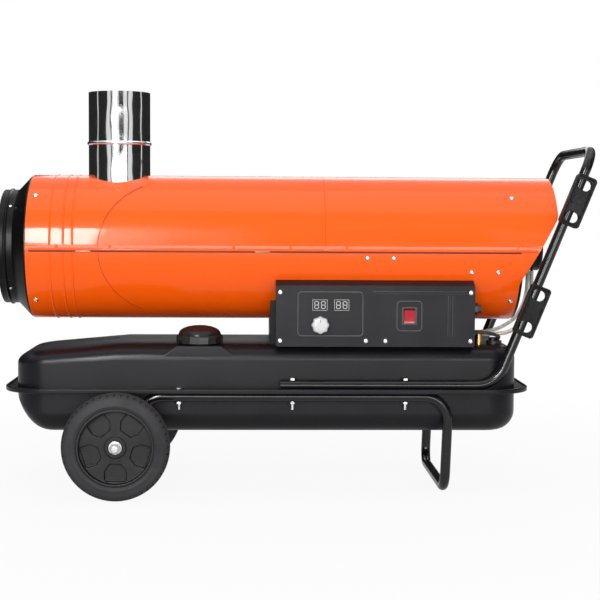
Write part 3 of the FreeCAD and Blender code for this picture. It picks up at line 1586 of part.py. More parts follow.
def control_panel():
    """Front panel with stamped recesses and ribs, and openings for what it carries."""
    low = (d.box_front_x, PANEL_FACE_Y, d.box_low_z)
    high = (d.box_rear_x, PANEL_BACK_Y, d.box_high_z)
    plate = slab("XZ", rectangle((low[0], low[2]), (high[0], high[2])), low[1], high[1])
    rounded(plate, d.hook_corner_r / 2, is_along("y"))
    past = PANEL_FACE_Y - 1
    sunk = PANEL_FACE_Y + d.panel_recess
    readout = slab("XZ", rectangle((d.readout_low_x, d.readout_low_z),
                                   (d.readout_high_x, d.readout_high_z)), past, sunk)
    rounded(readout, d.hook_corner_r, is_along("y"))
    half_w, half_h = d.switch_pad_wide / 2, d.switch_pad_high / 2
    pad = slab("XZ", rectangle((d.switch_x - half_w, d.switch_z - half_h),
                               (d.switch_x + half_w, d.switch_z + half_h)), past, sunk)
    rounded(pad, d.hook_corner_r, is_along("y"))
    tools = [readout, pad]
    half_w = d.display_wide / 2 + d.hole_gap
    half_h = d.display_high / 2 + d.hole_gap
    for x in (d.display_a_x, d.display_b_x):
        tools.append(box((x - half_w, past, d.display_z - half_h),
                         (x + half_w, PANEL_BACK_Y + 1, d.display_z + half_h)))
    tools.append(cylinder(d.knob_shaft_r + d.fit_gap, d.panel_thick * 3,
                          (d.knob_x, PANEL_FACE_Y - d.panel_thick, d.knob_z), "y"))
    half_w = d.switch_wide / 2 - d.switch_bezel + d.hole_gap
    half_h = d.switch_high / 2 - d.switch_bezel + d.hole_gap
    tools.append(box((d.switch_x - half_w, past, d.switch_z - half_h),
                     (d.switch_x + half_w, PANEL_BACK_Y + 1, d.switch_z + half_h)))
    ribs = [box((d.rib_front_x, PANEL_FACE_Y - d.rib_proud, d.rib_z - d.rib_high / 2),
                (d.rib_rear_x, PANEL_FACE_Y + d.rib_proud / 2, d.rib_z + d.rib_high / 2))]
    for x in (d.stripe_a_x, d.stripe_b_x):
        ribs.append(box((x - d.stripe_wide / 2, PANEL_FACE_Y - d.rib_proud, d.stripe_low_z),
                        (x + d.stripe_wide / 2, PANEL_FACE_Y + d.rib_proud / 2, d.stripe_high_z)))
    return node("control_panel", cut(fuse(plate, *ribs), *tools, *panel_screw_holes()))


def panel_screws():
    pieces = []
    for x, z in panel_screw_places():
        head = cylinder(d.screw_head_r, d.screw_head_high, (x, PANEL_FACE_Y - d.screw_head_high, z), "y")
        shank = cylinder(d.screw_r, d.panel_thick + d.screw_long, (x, PANEL_FACE_Y, z), "y")
        pieces.append(fuse(head, shank))
    return node("panel_screws", group(pieces))


def display(label, x):
    """Readout block that stands on the board and fills its window."""
    half_w, half_h = d.display_wide / 2, d.display_high / 2
    face = PANEL_FACE_Y + d.panel_recess + d.display_sink
    low = (x - half_w, face, d.display_z - half_h)
    return node(label, box(low, (x + half_w, d.board_y, d.display_z + half_h)))


def control_board():
    margin = d.board_margin
    return node("control_board", box(
        (d.readout_low_x - margin, d.board_y, d.readout_low_z - margin),
        (d.readout_high_x + margin, d.board_y + d.board_thick, d.readout_high_z - margin)))


def knob_encoder():
    """Rotary control behind the panel, soldered to the board."""
    half = d.encoder_wide / 2
    front = PANEL_BACK_Y + d.fit_gap
    block = box((d.knob_x - half, front, d.knob_z - half), (d.knob_x + half, d.board_y, d.knob_z + half))
    bore = cylinder(d.knob_shaft_r + d.run_gap, d.encoder_wide / 2 + 1,
                    (d.knob_x, front - 1, d.knob_z), "y")
    return node("knob_encoder", cut(block, bore))


def knob_pieces():
    """Lobed knob on its shaft, turned about the panel's normal."""
    low = PANEL_FACE_Y + d.panel_recess - d.fit_gap
    outer = low - d.knob_high
    skirt = low - d.knob_skirt
    points = [
        (low, 0),
        (low, d.knob_r),
        (skirt, d.knob_r),
        (skirt, d.knob_r - d.knob_skirt / 4),
        (outer + d.knob_skirt / 2, d.knob_r - d.knob_skirt / 2),
        (outer, d.knob_r - d.knob_skirt),
        (outer, 0),
    ]
    body = turned(points, "y", (d.knob_x, 0, d.knob_z))
    flutes = []
    count = int(d.knob_lobes.value)
    for i in range(count):
        turn = 2 * math.pi * i / count
        reach = d.knob_r + d.knob_lobe_r / 2
        flutes.append(cylinder(d.knob_lobe_r, d.knob_high,
                               (d.knob_x + reach * math.cos(turn), skirt - d.knob_high,
                                d.knob_z + reach * math.sin(turn)), "y"))
    shaft_out = outer + d.knob_skirt
    shaft_in = PANEL_BACK_Y + d.encoder_wide / 2
    bore = cylinder(d.knob_shaft_r, low - shaft_out + 1, (d.knob_x, shaft_out, d.knob_z), "y")
    node("thermostat_knob", cut(body, bore, *flutes))
    shaft = cylinder(d.knob_shaft_r, shaft_in - shaft_out, (d.knob_x, shaft_out, d.knob_z), "y")
    node("knob_shaft", shaft)


SWITCH_FACE_Y = PANEL_FACE_Y + d.panel_recess
ROCKER_AXIS = (d.switch_x, SWITCH_FACE_Y + d.rocker_proud, d.switch_z)


def switch_frame():
    """Snap-in switch housing: bezel on the panel, walls through it and a closed back."""
    half_w, half_h = d.switch_wide / 2, d.switch_high / 2
    bezel = box((d.switch_x - half_w, SWITCH_FACE_Y - d.switch_bezel, d.switch_z - half_h),
                (d.switch_x + half_w, SWITCH_FACE_Y, d.switch_z + half_h))
    in_w, in_h = half_w - d.switch_bezel, half_h - d.switch_bezel
    back = SWITCH_FACE_Y + d.switch_deep
    body = box((d.switch_x - in_w, SWITCH_FACE_Y - d.switch_bezel / 2, d.switch_z - in_h),
               (d.switch_x + in_w, back, d.switch_z + in_h))
    room_w, room_h = d.rocker_wide / 2 + d.fit_gap, d.rocker_high / 2 + d.fit_gap * 4
    room = box((d.switch_x - room_w, SWITCH_FACE_Y - d.switch_bezel * 2, d.switch_z - room_h),
               (d.switch_x + room_w, back - d.switch_wall, d.switch_z + room_h))
    pin = cylinder(d.rocker_pin_r + d.run_gap, d.switch_wide * 2,
                   (ROCKER_AXIS[0] - d.switch_wide, ROCKER_AXIS[1], ROCKER_AXIS[2]), "x")
    return node("switch_frame", cut(fuse(bezel, body), room, pin))


def switch_rocker():
    """Rocker with a hollowed face, tilted to its off position, with pivot pins."""
    half = d.rocker_high / 2
    front = -(d.rocker_proud + d.rocker_tip)
    dip = -(d.rocker_proud + d.rocker_tip / 2)
    points = [
        (front, half),
        (dip, 0),
        (front, -half),
        (d.rocker_tip / 4, -half),
        (d.rocker_tip, -d.rocker_tip / 2),
        (d.rocker_tip, d.rocker_tip / 2),
        (d.rocker_tip / 4, half),
    ]
    body = slab("YZ", points, -d.rocker_wide / 2, d.rocker_wide / 2)
    pin = cylinder(d.rocker_pin_r, d.switch_wide - d.switch_bezel * 2,
                   (-(d.switch_wide / 2 - d.switch_bezel), 0, 0), "x")
    rocker = fuse(body, pin)
    place(rocker, ROCKER_AXIS, FreeCAD.Rotation(FreeCAD.Vector(1, 0, 0), float(d.rocker_rest_tilt)))
    return node("switch_rocker", rocker)


def cord_gland():
    """Cable gland in the control box's rear end."""
    inner = d.gland_bore_r + d.gland_bore_r / 3 - d.hole_gap
    start = d.box_rear_x
    head = hex_prism(d.gland_r * 2, d.gland_long / 2, (start, d.gland_y, d.gland_z), "x")
    neck = cylinder(d.gland_r * 0.8, d.gland_long, (start, d.gland_y, d.gland_z), "x")
    stem = cylinder(inner, d.gland_long / 2, (start - d.box_wall * 2, d.gland_y, d.gland_z), "x")
    bore = cylinder(d.gland_bore_r, d.gland_long * 3, (start - d.gland_long, d.gland_y, d.gland_z), "x")
    return node("cord_gland", cut(fuse(head, neck, stem), bore))


def ignition_transformer():
    """Ignition transformer on the floor of the control box."""
    wall = d.box_wall
    rear = d.box_rear_x - wall * 4
    near = PANEL_BACK_Y + d.screw_long + wall
    low = d.box_low_z + wall
    return node("ignition_transformer", box(
        (rear - d.transformer_long, near, low),
        (rear, near + d.transformer_deep, low + d.transformer_high)))


def build():
    trim = rear_trim()
    upper_front_shell()
    upper_rear_shell(trim)
    lower_shell(trim)
    shell_screws()
    rivets()
    outlet_cone()
    combustion_chamber()
    chamber_brackets()
    flue_pipe()
    burner_tube()
    fuel_nozzle()
    ignition_electrodes()
    fan_shroud()
    fan_impeller()
    motor_shaft()
    motor_body()
    motor_bracket()
    fuel_pump()
    fan_guard()
    tank_upper()
    tank_lower()
    filler_neck()
    fuel_cap()
    cap_gasket()
    drain_plug()
    fuel_pickup()
    level_sender()
    supply_hose()
    pressure_hose()
    solenoid_valve()
    nozzle_pipe()
    sender_cable()
    chassis_frame()
    push_handle()
    cord_hooks()
    cord_hook_bolts()
    frame_fasteners()
    axle_pieces()
    for name, side in SIDES.items():
        wheel_tyre(name, side)
        wheel_hub(name, side)
    body_support()
    control_box()
    control_panel()
    panel_screws()
    display("room_display", d.display_a_x)
    display("set_display", d.display_b_x)
    control_board()
    knob_encoder()
    knob_pieces()
    switch_frame()
    switch_rocker()
    cord_gland()
    ignition_transformer()
    doc.recompute()


def write_parts():
    """Checks every object and every sub-part, then writes one file for each sub-part."""
    failed = [obj.Name for obj in doc.Objects if {"Invalid", "Error"} & set(obj.State)]
    if failed:
        raise RuntimeError(f"objects failed: {failed}")
    for label, obj in NODES.items():
        if obj.Shape.isNull() or not obj.Shape.isValid() or not obj.Shape.Solids:
            raise RuntimeError(f"sub-part has no valid solid: {label}")
    os.makedirs("parts", exist_ok=True)
    for label, obj in NODES.items():
        obj.Shape.exportStep(f"parts/{label}.step")
    print(len(NODES), "sub-parts written")


build()
write_parts()
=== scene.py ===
import math

import bpy
from mathutils import Matrix, Vector


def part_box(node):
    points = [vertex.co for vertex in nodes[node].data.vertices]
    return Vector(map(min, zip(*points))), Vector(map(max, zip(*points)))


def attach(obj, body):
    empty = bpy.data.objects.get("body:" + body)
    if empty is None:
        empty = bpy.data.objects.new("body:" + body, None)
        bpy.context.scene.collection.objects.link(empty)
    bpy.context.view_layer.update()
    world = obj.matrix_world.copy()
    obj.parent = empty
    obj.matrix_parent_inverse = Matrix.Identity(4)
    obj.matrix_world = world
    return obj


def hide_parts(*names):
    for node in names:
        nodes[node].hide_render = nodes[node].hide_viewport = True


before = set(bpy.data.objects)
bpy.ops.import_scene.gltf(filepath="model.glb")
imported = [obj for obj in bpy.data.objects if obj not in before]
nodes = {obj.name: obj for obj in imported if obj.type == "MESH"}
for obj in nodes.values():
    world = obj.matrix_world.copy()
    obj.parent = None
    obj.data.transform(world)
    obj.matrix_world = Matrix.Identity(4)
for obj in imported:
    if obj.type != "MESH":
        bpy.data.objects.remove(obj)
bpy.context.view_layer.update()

scene = bpy.context.scene

# Studio: a pale floor, a white surround and large softboxes.
# The camera stands a little to the outlet's side, at the height of the tube's upper half.
CAMERA_PLACE = (-0.0855, -2.8, 0.538)
CAMERA_TURNS = ((-2.07, "Z"), (86.34, "X"), (0.35, "Z"))
CAMERA_LENS = 84.7
SENSOR_WIDTH = 36
scene.view_settings.view_transform = "Standard"
camera_data = bpy.data.cameras.new("photo_camera")
camera_data.lens = CAMERA_LENS
camera_data.sensor_width = SENSOR_WIDTH
camera = bpy.data.objects.new("photo_camera", camera_data)
scene.collection.objects.link(camera)
stance = Matrix.Translation(CAMERA_PLACE)
for degrees, axis in CAMERA_TURNS:
    stance = stance @ Matrix.Rotation(math.radians(degrees), 4, axis)
camera.matrix_world = stance
scene.camera = camera

# Each lamp: name, place, aim, width, height, power, and whether polished surfaces mirror it.
LAMPS = (
    ("front_strip", (-0.2, -3.0, 1.75), (-0.1, 0, 0.45), 3.4, 0.55, 42, False),
    ("front_low", (0.0, -3.2, 0.5), (0.0, 0, 0.4), 3.4, 0.5, 48, True),
    ("overhead", (0.0, -0.3, 2.4), (0.0, 0, 0.3), 3.0, 1.6, 15, True),
    ("left_side", (-3.0, -0.2, 1.2), (-0.3, 0, 0.4), 0.9, 1.8, 16, False),
    ("right_side", (3.0, 0.2, 1.1), (0.3, 0, 0.4), 0.9, 1.8, 18, False),
    ("rear", (0.4, 3.0, 1.9), (0, 0, 0.4), 2.8, 1.0, 20, True),
)
for name, place, aim, wide, high, power, mirrored in LAMPS:
    data = bpy.data.lights.new(name, "AREA")
    data.shape = "RECTANGLE"
    data.size = wide
    data.size_y = high
    data.energy = power
    lamp = bpy.data.objects.new(name, data)
    lamp.location = place
    lamp.rotation_euler = (Vector(aim) - Vector(place)).to_track_quat("-Z", "Y").to_euler()
    lamp.visible_glossy = mirrored
    scene.collection.objects.link(lamp)


def set_inputs(node, settings):
    for socket, value in settings.items():
        node.inputs[socket].default_value = value


def add_node(tree, kind, settings=None, operation=None):
    """A shader node with its operation and its plain inputs set."""
    node = tree.nodes.new(f"ShaderNode{kind}")
    if operation:
        node.operation = operation
    set_inputs(node, settings or {})
    return node


def background_rays(tree, mirrored):
    """1 for rays that see the plain background, and the given share for mirrored ones."""
    rays = add_node(tree, "LightPath")
    direct = add_node(tree, "Math", operation="MAXIMUM")
    seen = add_node(tree, "Math", {1: mirrored}, "MULTIPLY_ADD")
    link = tree.links.new
    link(rays.outputs["Is Camera Ray"], direct.inputs[0])
    link(rays.outputs["Is Transmission Ray"], direct.inputs[1])
    link(rays.outputs["Is Glossy Ray"], seen.inputs[0])
    link(direct.outputs[0], seen.inputs[2])
    return seen.outputs[0]


SURROUND_LIGHT = 0.36
SURROUND_MIRRORED = 0.9
world = bpy.data.worlds.new("studio_surround")
scene.world = world
world.use_nodes = True
tree = world.node_tree
surround = tree.nodes["Background"]
set_inputs(surround, {"Color": (1, 1, 1, 1)})
strength = add_node(tree, "MapRange", {"To Min": SURROUND_LIGHT, "To Max": 1.0})
tree.links.new(background_rays(tree, SURROUND_MIRRORED), strength.inputs["Value"])
tree.links.new(strength.outputs["Result"], surround.inputs["Strength"])

# The floor glows white for the camera, a little less under the object, where its shadow shows.
FLOOR_SIZE = 60
FLOOR_TONE = 0.62
FLOOR_MIRRORED = 0.5
NEAR_GLOW, FAR_GLOW = 0.92, 1.0
GLOW_STARTS, GLOW_FULL = 0.5, 1.5
bpy.ops.object.select_all(action="DESELECT")
bpy.ops.mesh.primitive_plane_add(size=FLOOR_SIZE)
floor = bpy.context.object
floor.name = "studio_floor"
floor_finish = bpy.data.materials.new("pale_floor")
floor_finish.use_nodes = True
tree = floor_finish.node_tree
matt = tree.nodes["Principled BSDF"]
set_inputs(matt, {"Base Color": (FLOOR_TONE, FLOOR_TONE, FLOOR_TONE, 1), "Roughness": 0.9,
                  "Specular IOR Level": 0.1})
glow = add_node(tree, "Emission", {"Strength": 1.0})
spot = add_node(tree, "TexCoord")
away = add_node(tree, "VectorMath", operation="LENGTH")
fade = add_node(tree, "MapRange", {"From Min": GLOW_STARTS, "From Max": GLOW_FULL, "To Min": NEAR_GLOW,
                                   "To Max": FAR_GLOW})
share = add_node(tree, "Math", operation="MULTIPLY")
blend = add_node(tree, "MixShader")
tree.links.new(spot.outputs["Object"], away.inputs[0])
tree.links.new(away.outputs["Value"], fade.inputs["Value"])
tree.links.new(background_rays(tree, FLOOR_MIRRORED), share.inputs[0])
tree.links.new(fade.outputs["Result"], share.inputs[1])
tree.links.new(share.outputs[0], blend.inputs[0])
tree.links.new(matt.outputs[0], blend.inputs[1])
tree.links.new(glow.outputs[0], blend.inputs[2])
tree.links.new(blend.outputs[0], tree.nodes["Material Output"].inputs["Surface"])
floor.data.materials.append(floor_finish)

# Cards: upright boards round the set, which show in reflections alone. Dark ones give polished and
# painted metal something to mirror, and one lit board gives the enamel its highlight.
CARDS_MIDDLE_X = -0.2
DARK_LOW, DARK_HIGH = 0.1, 3.0
DARK_TONE, BRIGHT_TONE = 0.015, 0.8
BRIGHT_GLOW = 46


def card_paint(name, tone, glow):
    material = bpy.data.materials.new(name)
    material.use_nodes = True
    set_inputs(material.node_tree.nodes["Principled BSDF"], {
        "Base Color": (tone, tone, tone, 1), "Roughness": 0.9,
        "Emission Color": (1, 1, 1, 1), "Emission Strength": glow})
    return material


def card(name, bearing, distance, wide, low, high, material):
    """An upright card that faces the set; bearing 0 is the camera's side."""
    aim = math.radians(bearing)
    bpy.ops.object.select_all(action="DESELECT")
    bpy.ops.mesh.primitive_plane_add(size=1, rotation=(math.pi / 2, 0, aim))
    piece = bpy.context.object
    piece.name = name
    piece.scale = (wide, high - low, 1)
    across = distance * math.sin(aim)
    piece.location = (CARDS_MIDDLE_X + across, -distance * math.cos(aim), (low + high) / 2)
    piece.visible_camera = False
    piece.visible_diffuse = False
    piece.visible_shadow = False
    piece.data.materials.append(material)


# Each dark card: bearing, distance and width.
DARK_CARDS = (
    (-62, 3.7, 2.6), (70, 3.9, 2.6), (9, 4.6, 1.3), (-27, 4.4, 0.4), (33, 4.4, 0.4),
    (-102, 3.7, 2.2), (108, 3.9, 2.0), (-132, 3.7, 1.8), (136, 3.7, 1.8),
)
dark_card = card_paint("dark_card", DARK_TONE, 0)
for bearing, distance, wide in DARK_CARDS:
    card(f"dark_card_{bearing % 360}", bearing, distance, wide, DARK_LOW, DARK_HIGH, dark_card)
card("dark_card_rear", 180, 3.5, 5.0, 0.0, 2.3, dark_card)
bright_card = card_paint("bright_window", BRIGHT_TONE, BRIGHT_GLOW)
card("bright_window", -13.3, 3.03, 0.42, 0.86, 2.12, bright_card)

# Frame and push handle: bent steel tube of one diameter, powder coated in black and bolted to the tank.
# The coat has a fine grain and is a little duller where hands and boots have rubbed it.


def new_group(name, inputs, outputs):
    group = bpy.data.node_groups.new(name, "ShaderNodeTree")
    for socket, kind, value in inputs:
        made = group.interface.new_socket(socket, in_out="INPUT", socket_type=kind)
        made.default_value = value
    for socket, kind in outputs:
        group.interface.new_socket(socket, in_out="OUTPUT", socket_type=kind)
    return group, group.nodes.new("NodeGroupInput"), group.nodes.new("NodeGroupOutput")


def make_variation():
    """Soft clouds between two values, and a finer height for bump."""
    group, given, out = new_group(
        "surface_variation",
        [("Scale", "NodeSocketFloat", 20.0), ("Low", "NodeSocketFloat", 0.3),
         ("High", "NodeSocketFloat", 0.4), ("Grain Scale", "NodeSocketFloat", 400.0)],
        [("Value", "NodeSocketFloat"), ("Height", "NodeSocketFloat")])
    place = add_node(group, "TexCoord")
    clouds = add_node(group, "TexNoise", {"Detail": 4})
    spread = add_node(group, "MapRange", {"From Min": 0.35, "From Max": 0.65})
    grain = add_node(group, "TexNoise", {"Detail": 3})
    link = group.links.new
    link(place.outputs["Object"], clouds.inputs["Vector"])
    link(place.outputs["Object"], grain.inputs["Vector"])
    link(given.outputs["Scale"], clouds.inputs["Scale"])
    link(given.outputs["Grain Scale"], grain.inputs["Scale"])
    link(clouds.outputs["Fac"], spread.inputs["Value"])
    link(given.outputs["Low"], spread.inputs["To Min"])
    link(given.outputs["High"], spread.inputs["To Max"])
    link(spread.outputs["Result"], out.inputs["Value"])
    link(grain.outputs["Fac"], out.inputs["Height"])
    return group


def make_scuffs():
    """Thin short scuffs and faint dust that lighten a colour a little."""
    group, given, out = new_group(
        "scuffs_and_dust",
        [("Color", "NodeSocketColor", (0.5, 0.5, 0.5, 1)), ("Worn", "NodeSocketColor", (0.6, 0.6, 0.6, 1)),
         ("Amount", "NodeSocketFloat", 0.2), ("Scale", "NodeSocketFloat", 30.0)],
        [("Color", "NodeSocketColor")])
    place = add_node(group, "TexCoord")
    stretch = add_node(group, "Mapping", {"Scale": (0.35, 1.0, 2.4), "Rotation": (0.3, 0.5, 0.2)})
    lines = add_node(group, "TexNoise", {"Detail": 8, "Roughness": 0.7})
    sharp = add_node(group, "MapRange", {"From Min": 0.56, "From Max": 0.74})
    level = add_node(group, "Math", operation="MULTIPLY")
    mix = add_node(group, "Mix")
    mix.data_type = "RGBA"
    link = group.links.new
    link(place.outputs["Object"], stretch.inputs["Vector"])
    link(stretch.outputs["Vector"], lines.inputs["Vector"])
    link(given.outputs["Scale"], lines.inputs["Scale"])
    link(lines.outputs["Fac"], sharp.inputs["Value"])
    link(sharp.outputs["Result"], level.inputs[0])
    link(given.outputs["Amount"], level.inputs[1])
    link(level.outputs[0], mix.inputs["Factor"])
    link(given.outputs["Color"], mix.inputs[6])
    link(given.outputs["Worn"], mix.inputs[7])
    link(mix.outputs[2], out.inputs["Color"])
    return group


variation = make_variation()
scuffs = make_scuffs()


def place_group(tree, group, settings):
    """One use of a shared effect, with its own values."""
    node = add_node(tree, "Group")
    node.node_tree = group
    set_inputs(node, settings)
    return node


def finish(name, color, worn, wear, rough, grain, depth, metallic=0.0, clouds=14, scuff=26,
           specular=0.5):
    """A surface with scuffs in its colour, cloudy roughness and a fine grain in its bump."""
    material = bpy.data.materials.new(name)
    material.use_nodes = True
    tree = material.node_tree
    shader = tree.nodes["Principled BSDF"]
    set_inputs(shader, {"Metallic": metallic, "Specular IOR Level": specular})
    skin = place_group(tree, variation, {"Scale": clouds, "Low": rough[0], "High": rough[1],
                                         "Grain Scale": grain})
    rub = place_group(tree, scuffs, {"Color": (*color, 1), "Worn": (*worn, 1), "Amount": wear,
                                     "Scale": scuff})
    bump = add_node(tree, "Bump", {"Strength": 1.0, "Distance": depth})
    tree.links.new(rub.outputs["Color"], shader.inputs["Base Color"])
    tree.links.new(skin.outputs["Value"], shader.inputs["Roughness"])
    tree.links.new(skin.outputs["Height"], bump.inputs["Height"])
    tree.links.new(bump.outputs["Normal"], shader.inputs["Normal"])
    return material


def grey(tone):
    return (tone, tone, tone)


def dress(material, *names):
    """The finish of nodes that keep the shape of their solids."""
    for name in names:
        slots = nodes[name].data.materials
        slots.clear()
        slots.append(material)


powder_black = finish(
    "powder_coat_black", color=(0.006, 0.006, 0.0065), worn=grey(0.05), wear=0.18, rough=(0.1, 0.16),
    grain=900, depth=0.00002, specular=0.4)
dress(powder_black, "chassis_frame", "push_handle")

# Axle, washers and nuts: zinc plated steel, cut from bar and pressed sheet, with black spacers.
# The frame's bolts, the drain plug and the motor's shaft have the same bright, faintly stained plating.
WELD = 0.00001
EDGE_STEPS = 2
SHARP_CORNER, SMOOTH_CORNER = 34, 48
NUT_EDGE = 0.0006


def select_only(piece):
    bpy.ops.object.select_all(action="DESELECT")
    piece.select_set(True)
    bpy.context.view_layer.objects.active = piece


def edit_all():
    """Edit mode with the whole active piece selected."""
    bpy.ops.object.mode_set(mode="EDIT")
    bpy.ops.mesh.select_all(action="SELECT")


def even_flats(piece):
    """Flat faces keep their own light beside rounded edges."""
    piece.modifiers.new("flats", "WEIGHTED_NORMAL").keep_sharp = True
    bpy.ops.object.modifier_apply(modifier="flats")


def fitted(piece, material, slot, *stands_for, body="heater"):
    """The piece in its finish, carried by its body, in place of the solids that it stands for."""
    piece.data.materials.clear()
    piece.data.materials.append(material)
    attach(piece, body)
    if stands_for:
        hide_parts(*stands_for)


def softened(node_name, piece_name, material, slot, width, body="heater"):
    """The same piece with its pressed or moulded edges rounded, as a copy of its solid."""
    piece = bpy.data.objects.new(piece_name, nodes[node_name].data.copy())
    scene.collection.objects.link(piece)
    select_only(piece)
    bpy.ops.mesh.customdata_custom_splitnormals_clear()
    edit_all()
    bpy.ops.mesh.remove_doubles(threshold=WELD)
    bpy.ops.object.mode_set(mode="OBJECT")
    edge = piece.modifiers.new("edge", "BEVEL")
    edge.width = width
    edge.segments = EDGE_STEPS
    edge.limit_method = "ANGLE"
    edge.angle_limit = math.radians(SHARP_CORNER)
    edge.use_clamp_overlap = False
    bpy.ops.object.modifier_apply(modifier="edge")
    bpy.ops.object.shade_smooth_by_angle(angle=math.radians(SMOOTH_CORNER))
    even_flats(piece)
    fitted(piece, material, slot, node_name, body=body)


zinc = finish(
    "zinc_plate", color=(0.62, 0.62, 0.63), worn=(0.4, 0.38, 0.34), wear=0.35, rough=(0.2, 0.36),
    grain=500, depth=0.00005, metallic=1.0, clouds=60, scuff=70)
dress(zinc, "axle", "axle_washers", "frame_bolts", "frame_nuts", "motor_shaft", "drain_plug")
dress(powder_black, "axle_spacers")
# The nuts take a darker copy of the plated steel, painted shade that keeps them darker than the washers.
nut_steel_shaded = finish(
    "nut_steel_shaded", color=(0.3, 0.3, 0.31), worn=(0.16, 0.15, 0.14), wear=0.4, rough=(0.25, 0.4),
    grain=500, depth=0.00004, metallic=1.0, clouds=70, scuff=80)
softened("axle_nuts", "axle_nut_pair", nut_steel_shaded, "zinc_steel", NUT_EDGE)

# Cord-wrap plates: two black mouldings with a hole at each end, bolted to the near tube of the handle.
# They are smooth and dark, and so are their bolts.
HOOK_EDGE = 0.0009
hook_black = finish(
    "hook_black", color=(0.006, 0.006, 0.0065), worn=grey(0.03), wear=0.25, rough=(0.24, 0.34),
    grain=1200, depth=0.0001, specular=0.12)
dress(hook_black, "cord_hook_bolts")
softened("cord_hooks", "cord_wrap_plates", hook_black, "black_plastic", HOOK_EDGE)

# Wheels: a moulded black hub with closed recesses, in a solid tyre of dark grey rubber.
# The tyre has a ridge on its sidewall, two grooves round its tread and notches at its shoulders.
WHEEL_CENTRE = Vector((-0.33, 0, 0.1))
TREAD_MIDDLE_Y = 0.2125
TYRE_STEPS = 192
NOTCH_EVERY = 4
NOTCH_MARGIN, NOTCH_DEPTH = 0.0003, 0.0028
SHOULDER_FROM_MIDDLE = 0.0105
SHOULDER_LOW_R, SHOULDER_HIGH_R = 0.0955, 0.0999
HUB_EDGE = 0.0012
SPIN_WELD = 0.00002


def lathe(name, profile, axis, centre, steps):
    """A closed outline of (along the axis, radius) points, spun once round the axis."""
    bpy.ops.object.select_all(action="DESELECT")
    bpy.ops.mesh.primitive_circle_add(vertices=len(profile), radius=0.01, fill_type="NOTHING")
    piece = bpy.context.object
    piece.name = name
    along = Vector(axis)
    across = Vector((0, 0, 1)) if abs(along.z) < 0.5 else Vector((1, 0, 0))
    for vertex, (reach, radius) in zip(piece.data.vertices, profile):
        vertex.co = Vector(centre) + along * reach + across * radius
    edit_all()
    bpy.ops.mesh.spin(steps=steps, angle=2 * math.pi, center=centre, axis=axis)
    bpy.ops.mesh.select_all(action="SELECT")
    bpy.ops.mesh.remove_doubles(threshold=SPIN_WELD)
    bpy.ops.mesh.normals_make_consistent(inside=False)
    bpy.ops.object.mode_set(mode="OBJECT")
    return piece


def smooth(piece, angle):
    select_only(piece)
    bpy.ops.object.shade_smooth_by_angle(angle=math.radians(angle))


def pick_faces(piece, wanted):
    """Edit mode with only the wanted faces selected."""
    select_only(piece)
    bpy.ops.object.mode_set(mode="EDIT")
    bpy.ops.mesh.select_mode(type="FACE")
    bpy.ops.mesh.select_all(action="DESELECT")
    bpy.ops.object.mode_set(mode="OBJECT")
    for polygon in piece.data.polygons:
        polygon.select = wanted(polygon)
    bpy.ops.object.mode_set(mode="EDIT")


rubber_grey = finish(
    "tyre_rubber", color=(0.02, 0.02, 0.022), worn=(0.05, 0.049, 0.047), wear=0.5, rough=(0.62, 0.82),
    grain=700, depth=0.0003, scuff=45, specular=0.35)
hub_black = finish(
    "hub_moulding", color=(0.005, 0.005, 0.006), worn=grey(0.03), wear=0.3, rough=(0.42, 0.58),
    grain=1200, depth=0.00015, specular=0.3)
sidewall = [
    (0.1925, 0.0721), (0.1908, 0.0742), (0.1902, 0.0765), (0.1895, 0.0778), (0.1895, 0.0794),
    (0.1902, 0.0808), (0.1902, 0.0870), (0.1912, 0.0912), (0.1935, 0.0948), (0.1965, 0.0976),
]
tread = [
    (0.2005, 0.0992), (0.2040, 0.0997), (0.2050, 0.0975), (0.2068, 0.0975), (0.2078, 0.0999),
    (0.2125, 0.1000), (0.2172, 0.0999), (0.2182, 0.0975), (0.2200, 0.0975), (0.2210, 0.0997),
    (0.2245, 0.0992),
]
far_sidewall = [(2 * TREAD_MIDDLE_Y - y, r) for y, r in reversed(sidewall)]
tyre_outline = sidewall + tread + far_sidewall


def is_notch(polygon):
    spot = polygon.center - WHEEL_CENTRE
    radius = math.hypot(spot.x, spot.z)
    step = round((math.atan2(spot.z, spot.x) / (2 * math.pi) * TYRE_STEPS) - 0.5)
    at_shoulder = abs(abs(spot.y) - TREAD_MIDDLE_Y) > SHOULDER_FROM_MIDDLE
    return SHOULDER_LOW_R < radius < SHOULDER_HIGH_R and at_shoulder and step % NOTCH_EVERY == 0


for side, end in ((-1, "left"), (1, "right")):
    outline = [(y * side, r) for y, r in tyre_outline]
    tyre = lathe(f"{end}_wheel_tread", outline, (0, 1, 0), WHEEL_CENTRE, TYRE_STEPS)
    pick_faces(tyre, is_notch)
    bpy.ops.mesh.inset(thickness=NOTCH_MARGIN, depth=-NOTCH_DEPTH)
    bpy.ops.object.mode_set(mode="OBJECT")
    smooth(tyre, 36)
    fitted(tyre, rubber_grey, "tyre_rubber", f"wheel_tyre_{end}", body=f"{end}_wheel")
for end in ("left", "right"):
    softened(f"wheel_hub_{end}", f"{end}_hub", hub_black, "hub_plastic", HUB_EDGE, f"{end}_wheel")

